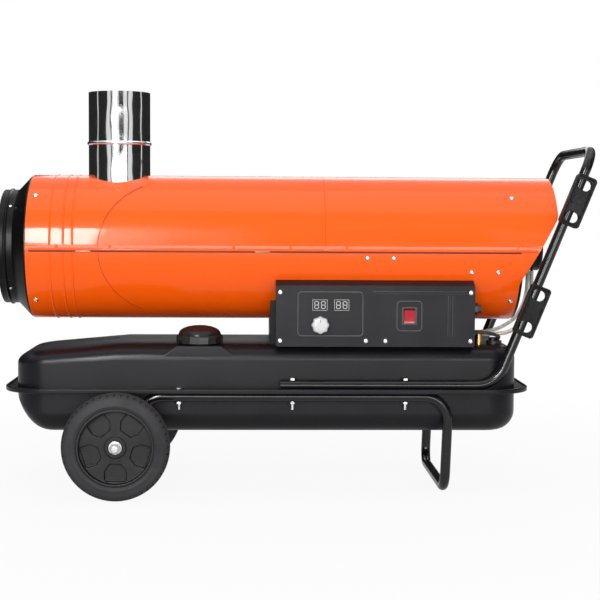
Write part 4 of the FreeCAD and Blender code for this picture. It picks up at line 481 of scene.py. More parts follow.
# Fuel tank's lid: the upper of two deep drawn steel halves seamed at a flange, in satin black paint.
# Its front slopes down, and a low boss at the near side carries the filler neck.
LID_FRONT, LID_REAR, LID_HALF = -0.529, 0.431, 0.137
TANK_PLAN = (LID_FRONT, LID_REAR, LID_HALF, 0.06)
LID_FLANGE_PLAN = (-0.5467, 0.4507, 0.1612, 0.0797)
LID_LOW, LID_TOP = 0.196, 0.28
LID_ROUNDING = 0.028
LID_SHEET = 0.0015
CORNER_STEPS, ROUNDING_STEPS = 14, 10
SLOPE_X, SLOPE_DROP, SLOPE_FOOT_Z, SLOPE_CUT = -0.33, 0.018, 0.215, 0.03
FILLER_X, FILLER_Y = -0.18, -0.09
NECK_HOLE_R, NECK_HOLE_DEPTH, NECK_HOLE_STEPS = 0.0302, 0.12, 64
BOSS_FOOT_HALF, BOSS_TOP_HALF = 0.073, 0.042
BOSS_PLAN = (FILLER_X - BOSS_FOOT_HALF, FILLER_X + BOSS_FOOT_HALF, 0.5, 0.0001)
BOSS_NEAR_Y, BOSS_FAR_Y = -0.1362, -0.07
BOSS_LOW, BOSS_TOP, BOSS_MIDDLE_Z = 0.257, LID_TOP - 0.0003, 0.27
BOSS_WELD = 0.001
BOSS_ROUNDING, BOSS_ROUNDING_STEPS = 0.0025, 3
PRESSING_ANGLE = 30
tank_black = finish(
    "tank_paint_black", color=(0.0075, 0.0075, 0.0105), worn=(0.024, 0.024, 0.027), wear=0.25,
    rough=(0.27, 0.37), grain=320, depth=0.00005, clouds=7, specular=0.19)
dress(tank_black, "filler_neck")


def plan_block(name, front, rear, half, corner, low, high):
    """An upright block on a plan with rounded corners."""
    bpy.ops.object.select_all(action="DESELECT")
    bpy.ops.mesh.primitive_plane_add(size=1, location=((front + rear) / 2, 0, low))
    piece = bpy.context.object
    piece.name = name
    piece.scale = (rear - front, half * 2, 1)
    bpy.ops.object.transform_apply()
    edit_all()
    bpy.ops.mesh.bevel(offset=corner, segments=CORNER_STEPS, affect="VERTICES")
    bpy.ops.mesh.select_all(action="SELECT")
    bpy.ops.mesh.extrude_region_move(TRANSFORM_OT_translate={"value": (0, 0, high - low)})
    bpy.ops.mesh.select_all(action="SELECT")
    bpy.ops.mesh.normals_make_consistent(inside=False)
    bpy.ops.object.mode_set(mode="OBJECT")
    return piece


def faces_up(polygon):
    return polygon.normal.z > 0.9


def round_edges(piece, wanted, offset, steps):
    """Rounds the edges of the wanted faces' borders."""
    pick_faces(piece, wanted)
    bpy.ops.mesh.region_to_loop()
    bpy.ops.mesh.bevel(offset=offset, segments=steps, affect="EDGES")
    bpy.ops.object.mode_set(mode="OBJECT")


def cut_across(places):
    """New edges across the active piece at these x places."""
    bpy.ops.object.mode_set(mode="EDIT")
    for x in places:
        bpy.ops.mesh.select_all(action="SELECT")
        bpy.ops.mesh.bisect(plane_co=(x, 0, 0), plane_no=(1, 0, 0))
    bpy.ops.object.mode_set(mode="OBJECT")


def combine(piece, other, operation, crossed=False):
    """Joins or cuts one closed shape by another, which may cross itself."""
    select_only(piece)
    shape = piece.modifiers.new("shape", "BOOLEAN")
    shape.object = other
    shape.operation = operation
    shape.use_self = crossed
    bpy.ops.object.modifier_apply(modifier="shape")
    bpy.data.objects.remove(other)


lid = plan_block("tank_lid", *TANK_PLAN, LID_LOW, LID_TOP)
round_edges(lid, faces_up, LID_ROUNDING, ROUNDING_STEPS)
cut_across([SLOPE_X - SLOPE_CUT * step for step in range(-1, 6)])
for vertex in lid.data.vertices:
    ahead = max(0.0, (SLOPE_X - vertex.co.x) / (SLOPE_X - LID_FRONT))
    lift = max(0.0, (vertex.co.z - SLOPE_FOOT_Z) / (LID_TOP - SLOPE_FOOT_Z))
    vertex.co.z -= SLOPE_DROP * ahead * lift
boss = plan_block("filler_boss", *BOSS_PLAN, BOSS_LOW, BOSS_TOP)
for vertex in boss.data.vertices:
    vertex.co.y = BOSS_NEAR_Y if vertex.co.y < 0 else BOSS_FAR_Y
    if vertex.co.z > BOSS_MIDDLE_Z:
        vertex.co.x = FILLER_X + math.copysign(BOSS_TOP_HALF, vertex.co.x - FILLER_X)
select_only(boss)
edit_all()
bpy.ops.mesh.remove_doubles(threshold=BOSS_WELD)
bpy.ops.mesh.normals_make_consistent(inside=False)
bpy.ops.mesh.select_all(action="SELECT")
bpy.ops.mesh.bevel(offset=BOSS_ROUNDING, segments=BOSS_ROUNDING_STEPS, affect="EDGES")
bpy.ops.object.mode_set(mode="OBJECT")
combine(lid, boss, "UNION")
combine(lid, plan_block("lid_flange", *LID_FLANGE_PLAN, LID_LOW, LID_LOW + LID_SHEET), "UNION")
bpy.ops.object.select_all(action="DESELECT")
bpy.ops.mesh.primitive_cylinder_add(vertices=NECK_HOLE_STEPS, radius=NECK_HOLE_R, depth=NECK_HOLE_DEPTH,
                                    location=(FILLER_X, FILLER_Y, LID_TOP))
well = bpy.context.object
bpy.ops.object.transform_apply()
combine(lid, well, "DIFFERENCE")
smooth(lid, PRESSING_ANGLE)
even_flats(lid)
fitted(lid, tank_black, "black_paint", "tank_upper")

# Tank pan: the lower half, with a deep round belly that rises at the front, and its hemmed flange.
# The hem is the flange's edge folded up round the lid's.
PAN_LOW, PAN_ROUNDING = 0.114, 0.038
NOSE_RISE, NOSE_REACH, NOSE_STEPS = 0.07, 0.072, 12
PAN_FLANGE_PLAN = (-0.549, 0.453, 0.1635, 0.082)
FLANGE_LOW, FLANGE_TOP = 0.1945, 0.1959
HEM_OUTER_PLAN = (-0.551, 0.455, 0.1655, 0.084)
HEM_INNER_PLAN = (-0.547, 0.451, 0.1615, 0.08)
HEM_LOW, HEM_TOP = 0.1915, 0.2005
HEM_ROUNDING, HEM_ROUNDING_STEPS = 0.0018, 4
HEM_ROOM_LOW, HEM_ROOM_TOP = 0.15, 0.25


def faces_down(polygon):
    return polygon.normal.z < -0.9


pan = plan_block("tank_pan", *TANK_PLAN, PAN_LOW, LID_LOW)
round_edges(pan, faces_down, PAN_ROUNDING, ROUNDING_STEPS)
cut_across([LID_FRONT + NOSE_REACH * step / NOSE_STEPS for step in range(1, NOSE_STEPS + 1)])
for vertex in pan.data.vertices:
    ahead = min(1.0, max(0.0, (LID_FRONT + NOSE_REACH - vertex.co.x) / NOSE_REACH))
    floor_z = PAN_LOW + NOSE_RISE * (1 - math.sqrt(1 - ahead ** 2))
    vertex.co.z = floor_z + (vertex.co.z - PAN_LOW) * (LID_LOW - floor_z) / (LID_LOW - PAN_LOW)
hem = plan_block("pan_hem", *HEM_OUTER_PLAN, HEM_LOW, HEM_TOP)
for wanted in (faces_up, faces_down):
    round_edges(hem, wanted, HEM_ROUNDING, HEM_ROUNDING_STEPS)
combine(hem, plan_block("hem_room", *HEM_INNER_PLAN, HEM_ROOM_LOW, HEM_ROOM_TOP), "DIFFERENCE")
combine(pan, plan_block("pan_flange", *PAN_FLANGE_PLAN, FLANGE_LOW, FLANGE_TOP), "UNION")
combine(pan, hem, "UNION")
smooth(pan, PRESSING_ANGLE)
even_flats(pan)
fitted(pan, tank_black, "black_paint", "tank_lower")

# Filler cap: a moulded dome with a faceted grip skirt, over a rubber ring.
# The dome is smooth and the skirt has sixteen flats.
CAP_CENTRE = Vector((FILLER_X, FILLER_Y, 0))
CAP_STEPS = 128
FLAT_HALF_TURN = math.pi / 16
GRIP_R, GRIP_TOP_Z = 0.0425, 0.2975
cap_black = finish(
    "cap_moulding", color=(0.013, 0.013, 0.014), worn=grey(0.05), wear=0.25, rough=(0.16, 0.26),
    grain=1100, depth=0.00006, specular=0.35)
cap_outline = [
    (0.2815, 0.0336), (0.2815, 0.0436), (0.2826, 0.0449), (0.2950, 0.0446), (0.2968, 0.0434),
    (0.2976, 0.0410), (0.3016, 0.0398), (0.3060, 0.0372), (0.3096, 0.0320), (0.3128, 0.0235),
    (0.3148, 0.0130), (0.3154, 0.0004), (0.3000, 0.0004), (0.2994, 0.0336),
]
cap = lathe("filler_cap", cap_outline, (0, 0, 1), CAP_CENTRE, CAP_STEPS)
for vertex in cap.data.vertices:
    spot = vertex.co - CAP_CENTRE
    if GRIP_R < math.hypot(spot.x, spot.y) and vertex.co.z < GRIP_TOP_Z:
        turn = math.atan2(spot.y, spot.x) % (2 * FLAT_HALF_TURN) - FLAT_HALF_TURN
        flat = math.cos(FLAT_HALF_TURN) / math.cos(turn)
        vertex.co.x = CAP_CENTRE.x + spot.x * flat
        vertex.co.y = CAP_CENTRE.y + spot.y * flat
smooth(cap, 20)
fitted(cap, cap_black, "black_plastic", "fuel_cap", body="cap")
gasket_rubber = finish(
    "gasket_rubber", color=grey(0.02), worn=grey(0.05), wear=0.3, rough=(0.6, 0.75), grain=900,
    depth=0.0001)
dress(gasket_rubber, "cap_gasket")

# Tank fittings: a turned brass elbow with its dip tube, and a moulded level sender.
# The fuel valve, nozzle and nozzle pipe are brass too, and so is the dial's shaft. The cord gland is
# moulded like the sender.
FITTING_EDGE, ELBOW_EDGE = 0.0006, 0.0004
brass = finish(
    "turned_brass", color=(0.62, 0.42, 0.16), worn=(0.28, 0.18, 0.08), wear=0.5, rough=(0.22, 0.38),
    grain=400, depth=0.00005, metallic=1.0, clouds=50, scuff=60)
moulded_black = finish(
    "moulded_black", color=(0.016, 0.016, 0.017), worn=grey(0.05), wear=0.25, rough=(0.36, 0.5),
    grain=1200, depth=0.0001)
dress(brass, "nozzle_pipe", "fuel_nozzle", "knob_shaft")
softened("fuel_pickup", "pickup_elbow", brass, "brass", ELBOW_EDGE)
softened("solenoid_valve", "fuel_valve", brass, "brass", FITTING_EDGE)
softened("level_sender", "level_sender_body", moulded_black, "black_plastic", FITTING_EDGE)
softened("cord_gland", "cord_gland_body", moulded_black, "black_plastic", FITTING_EDGE)

# Pedestal: folded sheet steel that carries the tube on the tank.
# Its dull black paint is that of the outlet and the fan's shroud.
PEDESTAL_EDGE = 0.0008
dull_black = finish(
    "outlet_paint", color=(0.0025, 0.0025, 0.003), worn=(0.04, 0.036, 0.032), wear=0.2,
    rough=(0.3, 0.42), grain=700, depth=0.00006, specular=0.14)
softened("body_support", "sheet_pedestal", dull_black, "black_paint", PEDESTAL_EDGE)

# Tube shells: rolled sheet in gloss orange enamel, the upper sheets lapped over the lower one.
# Enamel has a faint orange-peel ripple under a clear gloss.
SHELL_EDGE = 0.0005
orange = finish(
    "gloss_orange", color=(0.92, 0.103, 0.002), worn=(0.95, 0.14, 0.006), wear=0.12, rough=(0.2, 0.28),
    grain=160, depth=0.00008, clouds=5, scuff=12, specular=0.15)
set_inputs(orange.node_tree.nodes["Principled BSDF"], {"Coat Weight": 0.3, "Coat Roughness": 0.05})
for part in ("lower", "upper_front", "upper_rear"):
    softened(f"{part}_shell", f"{part}_cover", orange, "orange_paint", SHELL_EDGE)

# Pressed line: a fine half circle stamped across the near side of the front sheets.
# It is shallow, and its dark red colour is painted shade that makes it read as a thin darker line.
TUBE_AXIS_Z = 0.463
LINE_CENTRE_X, LINE_R, LINE_STEPS = -0.244, 0.126, 160
LINE_END_X = LINE_CENTRE_X - 0.045
LINE_DEPTH = 0.0005
UPPER_FACE_R, LOWER_FACE_R = 0.14165, 0.14005
LAP_BELOW_AXIS = -0.003
# Dark red painted shade for the stamped line.
pressed_line_shade = finish(
    "pressed_line_shade", color=(0.3, 0.022, 0.001), worn=(0.4, 0.05, 0.005), wear=0.2, rough=(0.3, 0.4),
    grain=300, depth=0.00003)


def beaded(piece, radius):
    """Turns the active piece's edges into a round bead."""
    bpy.ops.object.convert(target="CURVE")
    piece.data.bevel_depth = radius
    piece.data.bevel_resolution = 2
    bpy.ops.object.convert(target="MESH")


bpy.ops.object.select_all(action="DESELECT")
bpy.ops.mesh.primitive_circle_add(vertices=LINE_STEPS, radius=LINE_R, rotation=(math.pi / 2, 0, 0),
                                  location=(LINE_CENTRE_X, 0, TUBE_AXIS_Z))
arc = bpy.context.object
arc.name = "pressed_line"
bpy.ops.object.transform_apply()
edit_all()
bpy.ops.mesh.bisect(plane_co=(LINE_END_X, 0, 0), plane_no=(1, 0, 0), clear_outer=True)
bpy.ops.object.mode_set(mode="OBJECT")
for vertex in arc.data.vertices:
    above = vertex.co.z - TUBE_AXIS_Z
    around = UPPER_FACE_R if above > LAP_BELOW_AXIS else LOWER_FACE_R
    vertex.co.y = -math.sqrt(around ** 2 - above ** 2)
beaded(arc, LINE_DEPTH)
fitted(arc, pressed_line_shade, "orange_paint")

# Hems: the upper sheets' lower edges are folded back to a thin round lip on both sides.
# The lip stands just outside the lower sheet, over a dark strip of painted shade and two spring tabs on
# each side.
HEM_SPANS = ((-0.4985, 0.0565), (0.0595, 0.4615))
LIP_Y, LIP_Z, LIP_HIGH, LIP_DEEP, LIP_ROUNDING = 0.1432, 0.4616, 0.0046, 0.0044, 0.45
SHADE_STRIP_X, SHADE_STRIP_Y, SHADE_STRIP_LONG, SHADE_STRIP_HIGH, SHADE_STRIP_DEEP = -0.034, 0.1409, 0.929, 0.0032, 0.0024
TAB_PLACES = (-0.397, -0.061)
TAB_Y, TAB_LONG, TAB_HIGH, TAB_DEEP = 0.1426, 0.028, 0.0017, 0.002
UNDER_LIP_Z = 0.4582
ROUND_ANGLE = 60


def bar(centre, wide, high, deep, rounding=0.3):
    """One bevelled bar that lies along X."""
    bpy.ops.object.select_all(action="DESELECT")
    bpy.ops.mesh.primitive_cube_add(size=1, location=centre, scale=(wide, deep, high))
    piece = bpy.context.object
    bpy.ops.object.transform_apply()
    edit_all()
    bpy.ops.mesh.bevel(offset=min(wide, high, deep) * rounding, segments=3)
    bpy.ops.object.mode_set(mode="OBJECT")
    return piece


def joined(name, pieces):
    bpy.ops.object.select_all(action="DESELECT")
    for piece in pieces:
        piece.select_set(True)
    bpy.context.view_layer.objects.active = pieces[0]
    bpy.ops.object.join()
    result = bpy.context.object
    result.name = name
    bpy.ops.object.transform_apply()
    return result


hem_bars = []
shade_strip_bars = []
tab_bars = []
for side in (-1, 1):
    for front, rear in HEM_SPANS:
        middle = ((front + rear) / 2, side * LIP_Y, LIP_Z)
        hem_bars.append(bar(middle, rear - front, LIP_HIGH, LIP_DEEP, LIP_ROUNDING))
    shade_strip_bars.append(bar((SHADE_STRIP_X, side * SHADE_STRIP_Y, UNDER_LIP_Z), SHADE_STRIP_LONG, SHADE_STRIP_HIGH, SHADE_STRIP_DEEP))
    for x in TAB_PLACES:
        tab_bars.append(bar((x, side * TAB_Y, UNDER_LIP_Z), TAB_LONG, TAB_HIGH, TAB_DEEP))
# Painted shade: a dark red-brown strip under each lip stands for the lip's shadow on the lower sheet.
painted_shade_brown = finish(
    "painted_shade_brown", color=(0.11, 0.008, 0.002), worn=(0.16, 0.02, 0.006), wear=0.3, rough=(0.5, 0.65),
    grain=700, depth=0.0001)
tab_steel = finish(
    "tab_steel", color=(0.5, 0.4, 0.35), worn=(0.4, 0.3, 0.25), wear=0.3, rough=(0.42, 0.55), grain=400,
    depth=0.00003, metallic=0.8, clouds=80)
for name, bars, material, slot in (("lip_hems", hem_bars, orange, "orange_paint"),
                                   ("lip_painted_shade", shade_strip_bars, painted_shade_brown, "soft_rubber"),
                                   ("lip_tabs", tab_bars, tab_steel, "zinc_steel")):
    strip = joined(name, bars)
    smooth(strip, ROUND_ANGLE)
    fitted(strip, material, slot)

# Outlet cone and its duct ring: spun steel, screwed into the tube's front and riveted at the ring.
# Heat has dulled its black paint a little.
CONE_EDGE = 0.0006
softened("outlet_cone", "outlet_nose", dull_black, "black_paint", CONE_EDGE)

# Combustion chamber, burner and struts: heat resisting steel with straw and blue tints.
# They show only through the outlet, the flue and the rear guard. The electrodes are glazed ceramic.
hot_steel = finish(
    "heat_tinted_steel", color=(0.3, 0.27, 0.24), worn=(0.12, 0.1, 0.12), wear=0.7, rough=(0.38, 0.55),
    grain=300, depth=0.0001, metallic=1.0, clouds=9, scuff=10)
dress(hot_steel, "combustion_chamber", "chamber_brackets", "burner_tube")
ceramic = finish(
    "glazed_ceramic", color=(0.8, 0.79, 0.76), worn=(0.6, 0.58, 0.54), wear=0.3, rough=(0.12, 0.22),
    grain=300, depth=0.00003)
dress(ceramic, "ignition_electrodes")

# Flue stub: thin polished stainless pipe with a rolled bead.
# The thin sheet is not quite round, so its reflections run in waves.
WAVE_SCALE, WAVE_STRETCH, WAVE_DEPTH = 20, 0.7, 0.002
polished = finish(
    "polished_stainless", color=(0.72, 0.72, 0.73), worn=(0.6, 0.6, 0.62), wear=0.3, rough=(0.05, 0.12),
    grain=300, depth=0.00002, metallic=1.0, clouds=30)
tree = polished.node_tree
place = add_node(tree, "TexCoord")
squeeze = add_node(tree, "Mapping", {"Scale": (1.0, 1.0, WAVE_STRETCH)})
waves = add_node(tree, "TexNoise", {"Scale": WAVE_SCALE, "Detail": 1})
ripple = add_node(tree, "Bump", {"Strength": 1.0, "Distance": WAVE_DEPTH})
tree.links.new(place.outputs["Object"], squeeze.inputs["Vector"])
tree.links.new(squeeze.outputs["Vector"], waves.inputs["Vector"])
tree.links.new(waves.outputs["Fac"], ripple.inputs["Height"])
tree.links.new(ripple.outputs["Normal"], tree.nodes["Principled BSDF"].inputs["Normal"])
dress(polished, "flue_pipe")

# Fan, motor and pump: a moulded axial fan on the shaft of a cast motor, which drives the fuel pump.
# They sit in a black sheet shroud at the tube's rear end, and the pump stands behind the guard.
PUMP_EDGE = 0.001
cast_grey = finish(
    "cast_alloy", color=(0.24, 0.24, 0.25), worn=grey(0.4), wear=0.3, rough=(0.42, 0.6), grain=500,
    depth=0.0003, metallic=0.9, clouds=30)
fan_grey = finish(
    "fan_moulding", color=(0.06, 0.06, 0.065), worn=(0.14, 0.13, 0.12), wear=0.4, rough=(0.4, 0.55),
    grain=800, depth=0.0001)
dress(cast_grey, "motor_body")
dress(fan_grey, "fan_impeller")
dress(dull_black, "motor_bracket", "fan_shroud")
softened("fuel_pump", "fuel_pump_body", dull_black, "black_paint", PUMP_EDGE)

# Rear guard: five rings and twelve spokes of round wire, welded and dipped in black.
# It is pushed into the shroud's rear end.
GUARD_CENTRE = Vector((0.433, 0, TUBE_AXIS_Z))
RING_RADII = (0.05, 0.07, 0.09, 0.11, 0.1319)
RING_STEPS, WIRE_SIDES, WIRE_R = 96, 10, 0.0019
SPOKE_R, SPOKE_LONG, SPOKE_MIDDLE_R, SPOKE_BEHIND, SPOKE_EDGE = 0.0015, 0.082, 0.0908, 0.0003, 0.0003
SPOKES, FIRST_SPOKE = 12, 15
wires = []
for ring_r in RING_RADII:
    section = []
    for step in range(WIRE_SIDES):
        turn = 2 * math.pi * step / WIRE_SIDES
        section.append((WIRE_R * math.cos(turn), ring_r + WIRE_R * math.sin(turn)))
    wires.append(lathe("guard_ring", section, (1, 0, 0), GUARD_CENTRE, RING_STEPS))
for step in range(SPOKES):
    turn = math.radians(FIRST_SPOKE + 360 / SPOKES * step)
    outwards = Vector((0, math.cos(turn), math.sin(turn)))
    middle = GUARD_CENTRE + outwards * SPOKE_MIDDLE_R + Vector((SPOKE_BEHIND, 0, 0))
    bpy.ops.object.select_all(action="DESELECT")
    bpy.ops.mesh.primitive_cylinder_add(vertices=WIRE_SIDES, radius=SPOKE_R, depth=SPOKE_LONG,
                                        location=middle, rotation=(turn - math.pi / 2, 0, 0))
    spoke = bpy.context.object
    bpy.ops.object.transform_apply()
    edit_all()
    bpy.ops.mesh.bevel(offset=SPOKE_EDGE, segments=1)
    bpy.ops.object.mode_set(mode="OBJECT")
    wires.append(spoke)
guard = joined("rear_guard", wires)
smooth(guard, 50)
fitted(guard, dull_black, "black_paint", "fan_guard")

# Fuel hoses: clear plastic tube from the pump, one to the tank elbow and one to the valve.
# Each is pushed over its stubs and bends in one easy sweep. Routes are in millimetres.
HOSE_D = 0.008
PORT_X, PORT_Z = 474.333, 420
clear_tube = bpy.data.materials.new("clear_hose")
clear_tube.use_nodes = True
tree = clear_tube.node_tree
shader = tree.nodes["Principled BSDF"]
set_inputs(shader, {"Transmission Weight": 0.55, "IOR": 1.38})
skin = place_group(tree, variation, {"Scale": 40, "Low": 0.12, "High": 0.3})
rub = place_group(tree, scuffs, {"Color": (0.78, 0.77, 0.72, 1), "Worn": (0.6, 0.58, 0.5, 1),
                                 "Amount": 0.5})
tree.links.new(skin.outputs["Value"], shader.inputs["Roughness"])
tree.links.new(rub.outputs["Color"], shader.inputs["Base Color"])


def flexible(name, route, diameter):
    """A smooth line along its route with a round section."""
    curve = bpy.data.curves.new(name, "CURVE")
    curve.dimensions = "3D"
    curve.bevel_depth = 1.0
    curve.bevel_resolution = 6
    curve.use_fill_caps = True
    curve.resolution_u = 10
    spline = curve.splines.new("NURBS")
    spline.points.add(len(route) - 1)
    for point, spot in zip(spline.points, route):
        point.co = (*(value / 1000 for value in spot), 1)
        point.radius = diameter / 2
    spline.order_u = 3
    spline.use_endpoint_u = True
    piece = bpy.data.objects.new(name, curve)
    scene.collection.objects.link(piece)
    return piece


def run_length(piece):
    """Length of the line itself, read from the curve without its section."""
    depth = piece.data.bevel_depth
    piece.data.bevel_depth = 0
    bpy.context.view_layer.update()
    seen_from = bpy.context.evaluated_depsgraph_get()
    line = bpy.data.meshes.new_from_object(piece.evaluated_get(seen_from))
    spots = [vertex.co.copy() for vertex in line.vertices]
    bpy.data.meshes.remove(line)
    piece.data.bevel_depth = depth
    return sum((b - a).length for a, b in zip(spots, spots[1:]))


def routed(name, route, diameter, material, slot, node_name):
    """A hose or lead that leaves the object at its first point and ends in it again."""
    piece = flexible(name, route, diameter)
    fitted(piece, material, slot, node_name)
    run_length(piece)


supply_route = [
    (PORT_X, -20, PORT_Z - 0.3), (PORT_X, -20, PORT_Z - 36), (PORT_X - 5, -40, PORT_Z - 66),
    (PORT_X - 20, -65, PORT_Z - 94), (PORT_X - 44, -85, PORT_Z - 111), (403.3, -95, 300), (365.3, -95, 300),
]
routed("supply_line", supply_route, HOSE_D, clear_tube, "clear_hose", "supply_hose")
pressure_route = [
    (PORT_X, 20, PORT_Z - 0.3), (PORT_X, 20, PORT_Z - 36), (PORT_X - 5, 24, PORT_Z - 66),
    (PORT_X - 20, 26, PORT_Z - 96), (PORT_X - 46, 24, PORT_Z - 114), (401.5, 8, 298), (373.5, 0, 296),
    (345.5, 0, 296),
]
routed("pressure_line", pressure_route, HOSE_D, clear_tube, "clear_hose", "pressure_hose")

# Sender lead: a thin black cable from the control box to the level sender.
# It lies low over the tank's rear end.
LEAD_D = 0.0064
lead_route = [
    (341.8, -125, 306), (359.8, -125, 306), (377.8, -121, 304), (393.8, -109, 298), (398, -98, 293),
    (393, -83.4, 288.8),
]
routed("sender_lead", lead_route, LEAD_D, gasket_rubber, "soft_rubber", "sender_cable")

# Control box and panel: folded sheet steel with stamped frames, in fine-grained black.
# The grain is a little coarser than on the tank, and the beads on the stamped frames are light grey, a
# painted highlight along their edges. Inside are a green board, a transformer and the dial's encoder.
PANEL_Y = -0.1525
BOX_EDGE = 0.001
WIDE_BEAD, THIN_BEAD = 0.0012, 0.0008
# Each bead: name, low corner, high corner, corner radius, thickness.
PANEL_BEADS = (
    ("readout_bead", (0.0065, 0.301), (0.129, 0.384), 0.007, WIDE_BEAD),
    ("switch_bead", (0.1935, 0.311), (0.2405, 0.367), 0.007, WIDE_BEAD),
    ("rib_bead", (0.149, 0.381), (0.326, 0.385), 0.0019, THIN_BEAD),
    ("stripe_bead", (0.2905, 0.301), (0.2935, 0.377), 0.0012, THIN_BEAD),
    ("stripe_bead", (0.2995, 0.301), (0.3025, 0.377), 0.0012, THIN_BEAD),
)
panel_black = finish(
    "panel_grain_black", color=(0.006, 0.006, 0.009), worn=(0.026, 0.026, 0.03), wear=0.2,
    rough=(0.34, 0.46), grain=1500, depth=0.0002, specular=0.2)
# The beads' light grey is a painted highlight on the stamped frames' edges.
bead_highlight_grey = finish(
    "painted_highlight_bead_grey", color=(0.13, 0.13, 0.135), worn=grey(0.2), wear=0.3, rough=(0.3, 0.42),
    grain=900, depth=0.00005)
softened("control_box", "control_case", panel_black, "black_paint", BOX_EDGE)
dress(panel_black, "control_panel")


def rounded_outline(name, low, high, corner, thick):
    """A half-sunk round bead that follows a rectangle with rounded corners on the panel."""
    bpy.ops.object.select_all(action="DESELECT")
    middle = ((low[0] + high[0]) / 2, PANEL_Y, (low[1] + high[1]) / 2)
    bpy.ops.mesh.primitive_plane_add(size=1, location=middle, rotation=(math.pi / 2, 0, 0))
    piece = bpy.context.object
    piece.name = name
    piece.scale = (high[0] - low[0], high[1] - low[1], 1)
    bpy.ops.object.transform_apply()
    edit_all()
    bpy.ops.mesh.bevel(offset=corner, segments=6, affect="VERTICES")
    bpy.ops.mesh.select_all(action="SELECT")
    bpy.ops.mesh.delete(type="ONLY_FACE")
    bpy.ops.object.mode_set(mode="OBJECT")
    beaded(piece, thick / 2)
    smooth(piece, ROUND_ANGLE)
    return piece


panel_beads = joined("panel_beads", [rounded_outline(*bead) for bead in PANEL_BEADS])
fitted(panel_beads, bead_highlight_grey, "black_paint")
board_green = finish(
    "board_green", color=(0.015, 0.12, 0.05), worn=(0.05, 0.25, 0.12), wear=0.4, rough=(0.3, 0.45),
    grain=400, depth=0.00005)
dress(board_green, "control_board")
dress(moulded_black, "knob_encoder", "ignition_transformer")

# Readouts: dark lenses with pale seven-bar digits behind them and a thin printed border.
# Both are off, so every bar shows alike, with a faint painted glow.
DIGIT_PITCH = 0.0125
BAR_ACROSS, BAR_UP = 0.0036, 0.0066
FLAT_BAR, UPRIGHT_BAR = (0.0056, 0.0013), (0.0013, 0.0053)
PRINT_DEEP, PRINT_PROUD = 0.0003, 0.0001
BORDER_ACROSS, BORDER_UP, BORDER_WIDE, BORDER_TALL, BORDER_LINE = 0.0137, 0.01, 0.028, 0.0206, 0.0006
# Each bar of a digit: its place across and up in units of half a digit, and its size.
BARS = (
    (0, 1, FLAT_BAR), (0, 0, FLAT_BAR), (0, -1, FLAT_BAR), (-1, 0.5, UPRIGHT_BAR), (1, 0.5, UPRIGHT_BAR),
    (-1, -0.5, UPRIGHT_BAR), (1, -0.5, UPRIGHT_BAR),
)
BORDER = (
    (0, 1, BORDER_WIDE, BORDER_LINE), (0, -1, BORDER_WIDE, BORDER_LINE), (-1, 0, BORDER_LINE, BORDER_TALL),
    (1, 0, BORDER_LINE, BORDER_TALL),
)
lens = finish(
    "display_lens", color=(0.012, 0.006, 0.006), worn=grey(0.03), wear=0.2, rough=(0.08, 0.16),
    grain=300, depth=0.00001)
dress(lens, "room_display", "set_display")
digit_painted_glow = finish(
    "digit_painted_glow", color=(0.46, 0.47, 0.48), worn=grey(0.4), wear=0.2, rough=(0.3, 0.4), grain=300,
    depth=0.00001)
# The unlit bars get a faint painted glow.
set_inputs(digit_painted_glow.node_tree.nodes["Principled BSDF"],
           {"Emission Color": (0.85, 0.88, 0.92, 1), "Emission Strength": 0.08})
for readout in ("room", "set"):
    low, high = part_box(f"{readout}_display")
    face = low.y - PRINT_PROUD
    middle = (low + high) / 2
    pieces = []
    for half in (-0.5, 0.5):
        x = middle.x + half * DIGIT_PITCH
        for dx, dz, size in BARS:
            spot = (x + dx * BAR_ACROSS, face, middle.z + dz * BAR_UP)
            pieces.append(bar(spot, *size, PRINT_DEEP))
    for dx, dz, wide, tall in BORDER:
        spot = (middle.x + dx * BORDER_ACROSS, face, middle.z + dz * BORDER_UP)
        pieces.append(bar(spot, wide, tall, PRINT_DEEP))
    fitted(joined(f"{readout}_digits", pieces), digit_painted_glow, "white_plastic")

# Thermostat knob: white moulding with eight soft lobes on a thin skirt.
# A fine line on its face shows where it points.
KNOB_CENTRE = Vector((0.0485, 0, 0.3216))
KNOB_STEPS = 112
LOBES, LOBE_DEPTH, LOBE_R, LOBE_BACK_Y = 8, 0.05, 0.0128, -0.1535
POINTER_Y, POINTER_UP, POINTER_WIDE, POINTER_TALL, POINTER_DEEP = -0.16755, 0.0085, 0.0012, 0.006, 0.0004
knob_white = finish(
    "knob_white", color=grey(0.58), worn=(0.46, 0.45, 0.43), wear=0.25, rough=(0.22, 0.34), grain=500,
    depth=0.00004)
knob_outline = [
    (-0.1516, 0.0031), (-0.1516, 0.0125), (-0.1521, 0.0130), (-0.1532, 0.0130), (-0.1536, 0.0140),
    (-0.1542, 0.0166), (-0.1552, 0.0170), (-0.1632, 0.0164), (-0.1660, 0.0152), (-0.1673, 0.0132),
    (-0.1676, 0.0070), (-0.1676, 0.0004), (-0.1636, 0.0004), (-0.1636, 0.0031),
]
knob = lathe("thermostat_dial", knob_outline, (0, 1, 0), KNOB_CENTRE, KNOB_STEPS)
for vertex in knob.data.vertices:
    spot = vertex.co - KNOB_CENTRE
    if vertex.co.y < LOBE_BACK_Y and math.hypot(spot.x, spot.z) > LOBE_R:
        turn = math.atan2(spot.z, spot.x) - math.pi / 2
        lobe = 1 - LOBE_DEPTH + LOBE_DEPTH * math.cos(LOBES * turn)
        vertex.co.x = KNOB_CENTRE.x + spot.x * lobe
        vertex.co.z = KNOB_CENTRE.z + spot.z * lobe
smooth(knob, 40)
fitted(knob, knob_white, "white_plastic", "thermostat_knob", body="knob")
pointer_place = (KNOB_CENTRE.x, POINTER_Y, KNOB_CENTRE.z + POINTER_UP)
pointer = bar(pointer_place, POINTER_WIDE, POINTER_TALL, POINTER_DEEP)
pointer.name = "dial_pointer"
fitted(pointer, moulded_black, "black_plastic", body="knob")
